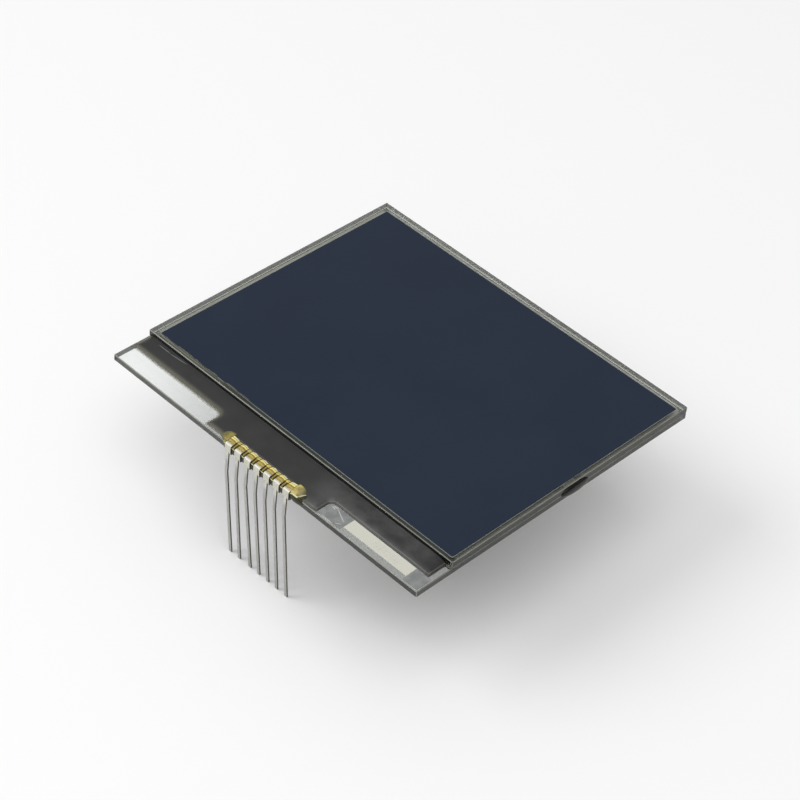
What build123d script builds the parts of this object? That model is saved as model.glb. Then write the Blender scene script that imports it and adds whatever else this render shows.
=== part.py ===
from build123d import *
import os

# Instrument cluster LCD screen: a bare glass cell with formed clip pins.
# Millimetres. X runs along the contact ledge, Y from the ledge to the far edge, Z out of the
# display face. The origin is the middle of the back face, on the rear polarizer.

# Glass sheets
glass_width = 62.8
front_glass_depth = 49.0
ledge_depth = 6.7
sheet_thickness = 1.1
edge_seam = 0.12

# Space between the sheets
cell_gap = 0.06
electrode_thickness = 0.01
seal_width = 1.2
seal_setback = 0.4
seal_corner_radius = 1.6
fill_port_width = 2.4
port_lip_width = 0.8
transfer_dot_diameter = 0.7
transfer_dot_inset = 0.8

# Electrode stripes
active_inset = 1.9
column_count = 60
row_count = 45
stripe_spacing = 0.12

# Polarizing films
film_thickness = 0.2
front_film_left_margin = 1.9
front_film_right_margin = 0.65
front_film_ledge_margin = 0.6
front_film_far_margin = 1.85
rear_film_margin = 0.5
film_corner_radius = 0.25

# Glue that closes the fill port
plug_length = 4.8
plug_height = 2.1
plug_bulge = 0.5

# Driver chip on the ledge
chip_length = 18.0
chip_width = 1.6
chip_thickness = 0.4
chip_edge_distance = 4.6
bond_film_thickness = 0.03
bond_film_border = 0.15

# Clip pins
pin_count = 7
pin_pitch = 2.0
pin_stock = 0.25
pin_head_width = 1.2
pin_leg_width = 0.5
pin_drop = 20.7
pin_kink_drop = 3.6
pin_outward_step = 0.12
pin_inward_lean = 1.5
finger_reach = 1.45
finger_contact_length = 0.6
finger_rise = 0.2
clip_clearance = 0.15
clip_outer_radius = 0.4
tine_width = 0.3
tine_reach = 1.1
pin_splay_degrees = (0.0, -0.2, 0.9, 0.5, 0.3, -0.1, 0.0)

# Clear conductors on the ledge
pad_width = 1.3
pad_length = 2.0
pad_edge_distance = 0.3
trace_width = 0.4

# Black coating on the ledge
coating_height = 0.55
coating_strip_edge_distance = 3.4
coating_left_end = 0.45
coating_right_end = 0.85
coating_block_width = 23.0
coating_block_shift = -0.3
coating_block_edge_distance = 0.3
coating_climb = 0.3
coating_round = 0.35
coating_corner_radius = 0.8

# Yellow adhesive over the pins' fingers
bead_depth = 1.85
bead_crest_distance = 0.6
bead_cover = 0.22
bead_scallop = 0.12
bead_left_overhang = 1.95
bead_right_overhang = 2.0
bead_lobe_length = 3.15
bead_lobe_depth = 2.35
bead_skirt_drop = 0.65
bead_skirt_left_overhang = 0.3
bead_skirt_right_overhang = 0.9

# Paper label on the ledge
label_length = 12.1
label_width = 2.05
label_thickness = 0.1
label_right_margin = 3.05
label_edge_distance = 1.0

# Faces and levels that the pieces share
half_width = glass_width / 2
total_depth = front_glass_depth + ledge_depth
far_edge = total_depth / 2
ledge_edge = -total_depth / 2
front_glass_edge = ledge_edge + ledge_depth
rear_glass_bottom = film_thickness
ledge_level = rear_glass_bottom + sheet_thickness
front_glass_bottom = ledge_level + cell_gap
front_glass_top = front_glass_bottom + sheet_thickness
port_middle = (front_glass_edge + far_edge) / 2
pin_positions = [(number - (pin_count - 1) / 2) * pin_pitch for number in range(pin_count)]
reach = 2 * (glass_width + total_depth)


def block(x_low, x_high, y_low, y_high, z_low, z_high):
    """A box between two opposite corners."""
    middle = Pos((x_low + x_high) / 2, (y_low + y_high) / 2, (z_low + z_high) / 2)
    return middle * Box(x_high - x_low, y_high - y_low, z_high - z_low)


def rounded_slab(x_low, x_high, y_low, y_high, z_low, z_high, radius):
    """A flat slab with rounded corners in plan."""
    outline = RectangleRounded(x_high - x_low, y_high - y_low, radius)
    return Pos((x_low + x_high) / 2, (y_low + y_high) / 2, z_low) * extrude(outline, z_high - z_low)


def along_x(outline, x_low, x_high):
    """Extrude a closed outline drawn in Y and Z from x_low to x_high."""
    return Pos(x_low, 0, 0) * extrude(Plane.YZ * make_face(outline), x_high - x_low)


def along_y(outline, y_low, y_high):
    """Extrude a closed outline drawn in X and Z from y_low to y_high."""
    return Pos(0, y_high, 0) * extrude(Plane.XZ * make_face(outline), y_high - y_low)


def glass_sheet(y_low, z_low):
    """A sheet that reaches from y_low to the far edge, with its edges seamed."""
    sheet = block(-half_width, half_width, y_low, far_edge, z_low, z_low + sheet_thickness)
    return chamfer(sheet.edges(), edge_seam)


def seal_outline(inset):
    """Corners of the seal's outline, set in from the front sheet's edges."""
    return (-half_width + inset, half_width - inset, front_glass_edge + inset, far_edge - inset)


def make_seal():
    """Frame of glue with an open fill port and two lips that lead out to the sheet's edge."""
    inner_inset = seal_setback + seal_width
    outer = rounded_slab(*seal_outline(seal_setback), ledge_level, front_glass_bottom, seal_corner_radius)
    inner = rounded_slab(*seal_outline(inner_inset), ledge_level, front_glass_bottom,
                         seal_corner_radius - seal_width / 2)
    port = block(half_width - inner_inset - seal_width, half_width,
                 port_middle - fill_port_width / 2, port_middle + fill_port_width / 2,
                 ledge_level, front_glass_bottom)
    seal = outer - inner - port
    for side in (-1, 1):
        lip_middle = port_middle + side * (fill_port_width + port_lip_width) / 2
        seal += block(half_width - inner_inset, half_width - edge_seam,
                      lip_middle - port_lip_width / 2, lip_middle + port_lip_width / 2,
                      ledge_level, front_glass_bottom)
    return seal


def transfer_dot_places():
    """Middles of the two conductive dots, inside the seal's corners at the ledge."""
    inset = seal_setback + seal_width + transfer_dot_inset
    return [(side * (half_width - inset), front_glass_edge + inset) for side in (-1, 1)]


def make_transfer_dots():
    """Two short conductive posts between the sheets."""
    dots = [Pos(x, y, ledge_level) * extrude(Circle(transfer_dot_diameter / 2), cell_gap)
            for x, y in transfer_dot_places()]
    return Compound(children=dots)


def make_liquid_crystal():
    """Filling inside the seal, with a neck into the fill port."""
    low = ledge_level + electrode_thickness
    high = front_glass_bottom - electrode_thickness
    inner_inset = seal_setback + seal_width
    x_low, x_high, y_low, y_high = seal_outline(inner_inset)
    filling = rounded_slab(x_low, x_high, y_low, y_high, low, high, seal_corner_radius - seal_width / 2)
    filling += block(x_high - seal_width, x_high + seal_width / 2,
                     port_middle - fill_port_width / 2, port_middle + fill_port_width / 2, low, high)
    for x, y in transfer_dot_places():
        filling -= Pos(x, y, low) * extrude(Circle(transfer_dot_diameter / 2), high - low)
    return filling


def active_area():
    """Corners of the area that the crossing stripes cover."""
    return seal_outline(seal_setback + seal_width + active_inset)


def make_columns():
    """Conductor stripes along Y on the rear sheet."""
    x_low, x_high, y_low, y_high = active_area()
    pitch = (x_high - x_low) / column_count
    stripes = [block(x_low + number * pitch, x_low + (number + 1) * pitch - stripe_spacing,
                     y_low, y_high, ledge_level, ledge_level + electrode_thickness)
               for number in range(column_count)]
    return Compound(children=stripes)


def make_rows():
    """Conductor stripes along X on the front sheet."""
    x_low, x_high, y_low, y_high = active_area()
    pitch = (y_high - y_low) / row_count
    stripes = [block(x_low, x_high, y_low + number * pitch, y_low + (number + 1) * pitch - stripe_spacing,
                     front_glass_bottom - electrode_thickness, front_glass_bottom)
               for number in range(row_count)]
    return Compound(children=stripes)


def make_front_film():
    """Dark film on the front face, with a wider margin at the left and far edges."""
    return rounded_slab(-half_width + front_film_left_margin, half_width - front_film_right_margin,
                        front_glass_edge + front_film_ledge_margin, far_edge - front_film_far_margin,
                        front_glass_top, front_glass_top + film_thickness, film_corner_radius)


def make_rear_film():
    """Film on the back face, under the whole front sheet."""
    return rounded_slab(*seal_outline(rear_film_margin), 0, rear_glass_bottom, film_corner_radius)


def make_plug(sheets):
    """Bead of glue over the fill port, with a tongue between the port's lips."""
    half_length = plug_length / 2
    half_height = plug_height / 2
    level = (ledge_level + front_glass_bottom) / 2
    rim = half_width - 2 * edge_seam
    crown = half_width + plug_bulge
    y_low = port_middle - half_length
    y_high = port_middle + half_length
    plan = Line((rim, y_low), (rim, y_high))
    plan += ThreePointArc((rim, y_low), (crown, port_middle), (rim, y_high))
    front = Line((rim, level - half_height), (rim, level + half_height))
    front += ThreePointArc((rim, level - half_height), (crown, level), (rim, level + half_height))
    bead = Pos(0, 0, level - half_height) * extrude(make_face(plan), plug_height)
    bead &= along_y(front, y_low, y_high)
    tongue = block(half_width - seal_setback - seal_width / 2, half_width,
                   port_middle - fill_port_width / 2, port_middle + fill_port_width / 2,
                   ledge_level, front_glass_bottom)
    plug = bead + tongue
    for sheet in sheets:
        plug -= sheet
    lip_reach = half_width - edge_seam
    for side in (-1, 1):
        lip_middle = port_middle + side * (fill_port_width + port_lip_width) / 2
        plug -= block(half_width - plug_length, lip_reach,
                      lip_middle - port_lip_width / 2, lip_middle + port_lip_width / 2,
                      ledge_level, front_glass_bottom)
    return plug


def chip_box(z_low, z_high, border):
    """A box over the chip's place, with a border around it."""
    middle = ledge_edge + chip_edge_distance
    return block(-chip_length / 2 - border, chip_length / 2 + border,
                 middle - chip_width / 2 - border, middle + chip_width / 2 + border, z_low, z_high)


def formed_strip(points, outer_radii, x_low, x_high):
    """Sheet metal bent along a path in Y and Z, with its thickness on the path's left."""
    path = [Vector(*point) for point in points]
    runs = [(end - start).normalized() for start, end in zip(path, path[1:])]
    sides = [run.rotate(Axis.Z, 90) for run in runs]
    back = [path[0] + sides[0] * pin_stock]
    for corner, side, next_side in zip(path[1:], sides, sides[1:]):
        back.append(corner + (side + next_side) * (pin_stock / (1 + side.dot(next_side))))
    back.append(path[-1] + sides[-1] * pin_stock)
    face = make_face(Polyline(*path, *reversed(back), close=True))
    for corner, back_corner, radius, run, next_run in zip(path[1:], back[1:], outer_radii, runs, runs[1:]):
        turns_left = run.cross(next_run).Z > 0
        rounds = ((corner, radius), (back_corner, radius - pin_stock))
        if not turns_left:
            rounds = ((corner, radius - pin_stock), (back_corner, radius))
        for place, round_radius in rounds:
            face = fillet(face.vertices().sort_by_distance(place)[0], round_radius)
    return Pos(x_low, 0, 0) * extrude(Plane.YZ * face, x_high - x_low)


def make_pin(position, splay):
    """Clip pin: a finger over the ledge, two tines under it and a leg that hangs between them."""
    face = ledge_edge - clip_clearance - pin_stock
    finger_top = ledge_level + electrode_thickness + pin_stock
    half_head = pin_head_width / 2
    half_leg = pin_leg_width / 2
    kink = rear_glass_bottom - pin_kink_drop
    tip = rear_glass_bottom - pin_drop
    fork = rear_glass_bottom + pin_stock
    leg_face = face - pin_outward_step
    soft_radius = 2 * clip_outer_radius
    strip = formed_strip(
        [(ledge_edge + finger_reach, finger_top),
         (ledge_edge + finger_reach - finger_contact_length, finger_top),
         (face, finger_top + finger_rise),
         (face, fork),
         (leg_face, kink),
         (leg_face + pin_inward_lean, tip)],
        [soft_radius, clip_outer_radius, soft_radius, soft_radius],
        position - pin_head_width, position + pin_head_width)
    tip_position = position + Vector(1, 0).rotate(Axis.Z, splay).Y * (kink - tip)
    front = Polyline(
        (position - half_head, finger_top + reach), (position - half_head, fork),
        (position - half_leg, fork), (position - half_leg, kink),
        (tip_position - half_leg, tip - pin_stock), (tip_position + half_leg, tip - pin_stock),
        (position + half_leg, kink), (position + half_leg, fork),
        (position + half_head, fork), (position + half_head, finger_top + reach), close=True)
    pin = strip & along_y(front, ledge_edge - reach, ledge_edge + reach)
    tine_path = [(face, fork), (face, rear_glass_bottom - pin_stock),
                 (ledge_edge + tine_reach, rear_glass_bottom - pin_stock)]
    for side in (-1, 1):
        outer = position + side * half_head
        inner = outer - side * tine_width
        pin += formed_strip(tine_path, [clip_outer_radius], min(outer, inner), max(outer, inner))
    return pin


def make_contact_pads():
    """Clear pads on the ledge, one under each finger."""
    near = ledge_edge + pad_edge_distance
    pads = [block(x - pad_width / 2, x + pad_width / 2, near, near + pad_length,
                  ledge_level, ledge_level + electrode_thickness) for x in pin_positions]
    return Compound(children=pads)


def make_traces():
    """Clear conductors from each pad to the edge of the chip's bond film."""
    near = ledge_edge + pad_edge_distance + pad_length
    far = ledge_edge + chip_edge_distance - chip_width / 2 - bond_film_border
    traces = [block(x - trace_width / 2, x + trace_width / 2, near, far,
                    ledge_level, ledge_level + electrode_thickness) for x in pin_positions]
    return Compound(children=traces)


def bead_front_outline(crest, skirt):
    """Outline of the adhesive seen from the ledge's front, scalloped at each pin above and below."""
    half_pitch = pin_pitch / 2
    row_low = pin_positions[0] - pin_head_width / 2
    row_high = pin_positions[-1] + pin_head_width / 2
    x_low = row_low - bead_left_overhang
    x_high = row_high + bead_right_overhang
    skirt_low = row_low - bead_skirt_left_overhang
    skirt_high = row_high + bead_skirt_right_overhang
    skirt_middle = (ledge_level + skirt) / 2
    slope_middle = (ledge_level + crest) / 2 + bead_scallop
    valley = crest - bead_scallop
    first_valley = (pin_positions[0] - half_pitch, valley)
    last_valley = (pin_positions[-1] + half_pitch, valley)

    outline = ThreePointArc((x_low, ledge_level), ((x_low + row_low) / 2, slope_middle), first_valley)
    for x in pin_positions:
        outline += ThreePointArc((x - half_pitch, valley), (x, crest), (x + half_pitch, valley))
    outline += ThreePointArc(last_valley, ((x_high + row_high) / 2, slope_middle), (x_high, ledge_level))
    outline += Line((x_high, ledge_level), (skirt_high, ledge_level))
    outline += ThreePointArc((skirt_high, ledge_level), (skirt_high - bead_scallop, skirt_middle),
                             (pin_positions[-1] + half_pitch, skirt))
    for x in reversed(pin_positions):
        outline += ThreePointArc((x + half_pitch, skirt), (x, skirt - bead_scallop),
                                 (x - half_pitch, skirt))
    outline += ThreePointArc((pin_positions[0] - half_pitch, skirt), (skirt_low, skirt_middle),
                             (skirt_low - bead_scallop, ledge_level))
    outline += Line((skirt_low - bead_scallop, ledge_level), (x_low, ledge_level))
    return outline


def bead_side_outline(crest, low, outer_face):
    """Outline of the adhesive seen from the ledge's end, highest over the fingers."""
    far = ledge_edge + bead_lobe_depth
    outline = Line((outer_face, low), (outer_face, crest - bead_cover))
    outline += ThreePointArc((outer_face, crest - bead_cover), (ledge_edge + bead_crest_distance, crest),
                             (far, ledge_level))
    outline += Line((far, ledge_level), (far, low))
    outline += Line((far, low), (outer_face, low))
    return outline


def bead_plan(outer_face):
    """Plan of the adhesive: a straight run behind the pins with a round lobe at each end."""
    row_low = pin_positions[0] - pin_head_width / 2
    row_high = pin_positions[-1] + pin_head_width / 2
    half_lobe = bead_lobe_length / 2
    half_depth = (ledge_edge + bead_lobe_depth - outer_face) / 2
    plan = make_face(Polyline(
        (row_low, outer_face), (row_high, outer_face),
        (row_high, ledge_edge + bead_depth), (row_low, ledge_edge + bead_depth), close=True))
    left_lobe = row_low - bead_left_overhang + half_lobe
    right_lobe = row_high + bead_right_overhang - half_lobe
    for lobe_middle in (left_lobe, right_lobe):
        plan += Pos(lobe_middle, outer_face + half_depth) * Ellipse(half_lobe, half_depth)
    return plan


def make_bead(cut_out):
    """Clear adhesive that wets the fingers, the ledge and the glass edge between the pins."""
    crest = ledge_level + electrode_thickness + pin_stock + finger_rise + bead_cover
    skirt = ledge_level - bead_skirt_drop
    low = skirt - pin_stock
    outer_face = ledge_edge - clip_clearance
    bead = along_y(bead_front_outline(crest, skirt), outer_face, ledge_edge + bead_lobe_depth)
    bead &= along_x(bead_side_outline(crest, low, outer_face), -half_width, half_width)
    bead &= Pos(0, 0, low) * extrude(bead_plan(outer_face), crest + pin_stock - low)
    for piece in cut_out:
        bead -= piece
    return bead


def make_coating(cut_out):
    """Black coating: a strip along the front sheet that widens to the ledge's edge at the pins."""
    left = -half_width + coating_left_end
    right = half_width - coating_right_end
    block_left = coating_block_shift - coating_block_width / 2
    block_right = coating_block_shift + coating_block_width / 2
    strip_low = ledge_edge + coating_strip_edge_distance
    block_low = ledge_edge + coating_block_edge_distance
    step = front_glass_edge + edge_seam
    plan = make_face(Polyline(
        (left, step), (left, strip_low), (block_left, strip_low), (block_left, block_low),
        (block_right, block_low), (block_right, strip_low), (right, strip_low), (right, step), close=True))
    free_corners = [corner for corner in plan.vertices() if corner.Y < front_glass_edge]
    plan = fillet(free_corners, coating_corner_radius)
    coating = Pos(0, 0, ledge_level) * extrude(plan, coating_height)
    top_face = coating.faces().sort_by(Axis.Z)[-1]
    rim = [edge for edge in top_face.edges() if edge.center().Y < front_glass_edge]
    coating = fillet(rim, coating_round)

    top = ledge_level + coating_height
    foot = front_glass_edge - coating_climb
    crest = top + coating_climb
    meniscus = Polyline((foot, top), (foot, ledge_level), (front_glass_edge, ledge_level),
                        (front_glass_edge, crest))
    meniscus += TangentArc((foot, top), (front_glass_edge, crest), tangent=(1, 0))
    coating += along_x(meniscus, left + coating_round, right - coating_round)
    for piece in cut_out:
        coating -= piece
    return coating


def make_label():
    """Small paper label on the bare stretch of the ledge."""
    x_high = half_width - label_right_margin
    y_low = ledge_edge + label_edge_distance
    return block(x_high - label_length, x_high, y_low, y_low + label_width,
                 ledge_level, ledge_level + label_thickness)


rear_glass = glass_sheet(ledge_edge, rear_glass_bottom)
front_glass = glass_sheet(front_glass_edge, front_glass_bottom)
pins = [make_pin(position, splay) for position, splay in zip(pin_positions, pin_splay_degrees)]
contact_pads = make_contact_pads()
input_traces = make_traces()
chip_level = ledge_level + bond_film_thickness
chip_bond_film = chip_box(ledge_level, chip_level, bond_film_border)
driver_chip = chip_box(chip_level, chip_level + chip_thickness, 0)
pin_adhesive = make_bead([rear_glass, contact_pads] + pins)
ledge_coating = make_coating(
    [front_glass, driver_chip, chip_bond_film, input_traces, contact_pads, pin_adhesive] + pins)

nodes = {
    "rear_glass": rear_glass,
    "front_glass": front_glass,
    "perimeter_seal": make_seal(),
    "liquid_crystal": make_liquid_crystal(),
    "row_electrodes": make_rows(),
    "column_electrodes": make_columns(),
    "transfer_dots": make_transfer_dots(),
    "end_seal_plug": make_plug([rear_glass, front_glass]),
    "front_polarizer": make_front_film(),
    "rear_polarizer": make_rear_film(),
    "driver_chip": driver_chip,
    "chip_bond_film": chip_bond_film,
    "input_traces": input_traces,
    "contact_pads": contact_pads,
    "ledge_coating": ledge_coating,
    "pin_adhesive": pin_adhesive,
    "lot_label": make_label(),
}
for number, pin in enumerate(pins, start=1):
    nodes[f"pin_{number}"] = pin

os.makedirs("parts", exist_ok=True)
for name, shape in nodes.items():
    export_step(shape, f"parts/{name}.step")
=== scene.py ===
"""Finishes, resin pieces, stage and camera of the instrument cluster display cell."""

import logging
import math
from dataclasses import dataclass
from enum import Enum
from typing import Callable, Iterable, Sequence

import bmesh
import bpy
from mathutils import Matrix, Vector, noise


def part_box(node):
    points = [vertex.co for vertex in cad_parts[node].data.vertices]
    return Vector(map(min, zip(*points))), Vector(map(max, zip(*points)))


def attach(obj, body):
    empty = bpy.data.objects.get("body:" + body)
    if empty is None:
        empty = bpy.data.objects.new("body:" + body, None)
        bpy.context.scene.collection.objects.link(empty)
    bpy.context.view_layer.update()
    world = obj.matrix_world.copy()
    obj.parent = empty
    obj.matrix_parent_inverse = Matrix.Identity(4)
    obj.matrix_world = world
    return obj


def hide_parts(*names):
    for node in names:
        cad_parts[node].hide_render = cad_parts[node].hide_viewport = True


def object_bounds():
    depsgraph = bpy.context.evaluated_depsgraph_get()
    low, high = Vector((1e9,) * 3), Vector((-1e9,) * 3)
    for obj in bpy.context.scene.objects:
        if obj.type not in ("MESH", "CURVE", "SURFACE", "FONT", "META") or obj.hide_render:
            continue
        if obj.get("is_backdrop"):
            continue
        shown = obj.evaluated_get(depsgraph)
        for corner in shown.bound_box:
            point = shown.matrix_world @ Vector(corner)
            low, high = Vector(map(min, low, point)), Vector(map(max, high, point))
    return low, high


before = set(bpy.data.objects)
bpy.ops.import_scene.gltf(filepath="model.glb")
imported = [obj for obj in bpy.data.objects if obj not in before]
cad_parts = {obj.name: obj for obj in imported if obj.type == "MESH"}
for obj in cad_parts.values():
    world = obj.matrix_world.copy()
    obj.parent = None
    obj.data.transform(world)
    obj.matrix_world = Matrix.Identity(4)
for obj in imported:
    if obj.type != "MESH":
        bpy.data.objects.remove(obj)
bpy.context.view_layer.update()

LOG = logging.getLogger("display_cell")
MM = 0.001
IMAGE_PIXELS = 800
NUMBER = "NodeSocketFloat"
VECTOR = "NodeSocketVector"
Colour = tuple[float, float, float]


class Slot(Enum):
    """Material slots of the record."""

    GLASS = "glass"
    COATING = "black_coating"
    ADHESIVE = "yellow_adhesive"
    GLUE = "clear_glue"
    FRONT_FILM = "front_film"
    REAR_FILM = "rear_film"
    SEAL = "seal_glue"
    CRYSTAL = "liquid_crystal"
    CONDUCTOR = "clear_conductor"
    PASTE = "conductive_paste"
    BOND = "bond_film"
    PAPER = "paper"


class Graph:
    """Places and links nodes in one node tree."""

    def __init__(self, tree: bpy.types.NodeTree) -> None:
        """Keep the tree and empty it.

        Args:
            tree: The node tree to fill.
        """
        self.tree = tree
        tree.nodes.clear()

    def node(self, kind: str, **settings: object) -> bpy.types.Node:
        """Add a node and set its properties.

        Args:
            kind: The node's type, such as ShaderNodeMath.
            **settings: Properties of the node by name.

        Returns:
            The new node.
        """
        made = self.tree.nodes.new(kind)
        for name, value in settings.items():
            setattr(made, name, value)
        return made

    def feed(self, socket: bpy.types.NodeSocket, value: object) -> None:
        """Link a socket into another, or set a plain value on it.

        Args:
            socket: The input to fill.
            value: An output socket, a number, a vector or a colour.
        """
        if isinstance(value, bpy.types.NodeSocket):
            self.tree.links.new(value, socket)
        elif isinstance(value, tuple) and socket.type == "RGBA":
            socket.default_value = (*value, 1.0)
        else:
            socket.default_value = value

    def math(self, operation: str, *values: object, clamp: bool = False) -> bpy.types.NodeSocket:
        """Add a Math node.

        Args:
            operation: Name of the operation, such as MULTIPLY.
            *values: Its inputs in order.
            clamp: Whether the result is held between 0 and 1.

        Returns:
            The node's output.
        """
        made = self.node("ShaderNodeMath", operation=operation, use_clamp=clamp)
        for socket, value in zip(made.inputs, values):
            self.feed(socket, value)
        return made.outputs[0]

    def remap(self, value: object, low: float, high: float, to_low: object = 0.0,
              to_high: object = 1.0) -> bpy.types.NodeSocket:
        """Map a range of a value smoothly onto another.

        Args:
            value: The value to map.
            low: Where the source range starts.
            high: Where the source range ends.
            to_low: Result at low.
            to_high: Result at high.

        Returns:
            The mapped value.
        """
        made = self.node("ShaderNodeMapRange", interpolation_type="SMOOTHSTEP")
        for name, item in (("Value", value), ("From Min", low), ("From Max", high),
                           ("To Min", to_low), ("To Max", to_high)):
            self.feed(made.inputs[name], item)
        return made.outputs[0]

    def ramp(self, value: object, span_mm: Sequence[float], to_low: object = 0.0,
             to_high: object = 1.0, start: float = 0.0) -> bpy.types.NodeSocket:
        """Map a stretch of a distance smoothly onto another range.

        Args:
            value: The distance, in metres.
            span_mm: Where the stretch starts and ends, from start.
            to_low: Result where it starts.
            to_high: Result where it ends.
            start: Place that the stretch is measured from, in metres.

        Returns:
            The mapped value.
        """
        low, high = (start + reach * MM for reach in span_mm)
        return self.remap(value, low, high, to_low, to_high)

    def mix(self, factor: object, first: object, second: object) -> bpy.types.NodeSocket:
        """Blend two colours.

        Args:
            factor: 0 gives the first colour and 1 the second.
            first: A colour or an output.
            second: A colour or an output.

        Returns:
            The blended colour.
        """
        made = self.node("ShaderNodeMix", data_type="RGBA")
        self.feed(made.inputs["Factor"], factor)
        self.feed(made.inputs[6], first)
        self.feed(made.inputs[7], second)
        return made.outputs[2]

    def noise(self, vector: object, scale: object, detail: float = 3.0,
              roughness: float = 0.55) -> bpy.types.NodeSocket:
        """Add a noise texture.

        Args:
            vector: Where the noise is read.
            scale: Cells per metre.
            detail: Number of finer layers.
            roughness: Weight of the finer layers.

        Returns:
            The noise value, about 0.5 on average.
        """
        made = self.node("ShaderNodeTexNoise")
        self.feed(made.inputs["Vector"], vector)
        self.feed(made.inputs["Scale"], scale)
        self.feed(made.inputs["Detail"], detail)
        self.feed(made.inputs["Roughness"], roughness)
        return made.outputs[0]

    def bump(self, height: object, distance: float, strength: float) -> bpy.types.NodeSocket:
        """Turn a height into a bent normal.

        Args:
            height: The height value.
            distance: Metres that a height of 1 stands for.
            strength: Share of the effect.

        Returns:
            The normal.
        """
        made = self.node("ShaderNodeBump")
        self.feed(made.inputs["Strength"], strength)
        self.feed(made.inputs["Distance"], distance)
        self.feed(made.inputs["Height"], height)
        return made.outputs[0]

    def split(self, vector: bpy.types.NodeSocket) -> list[bpy.types.NodeSocket]:
        """Split a vector into its parts.

        Args:
            vector: The vector's output.

        Returns:
            Its X, Y and Z.
        """
        made = self.node("ShaderNodeSeparateXYZ")
        self.feed(made.inputs[0], vector)
        return [made.outputs[axis] for axis in "XYZ"]


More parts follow.
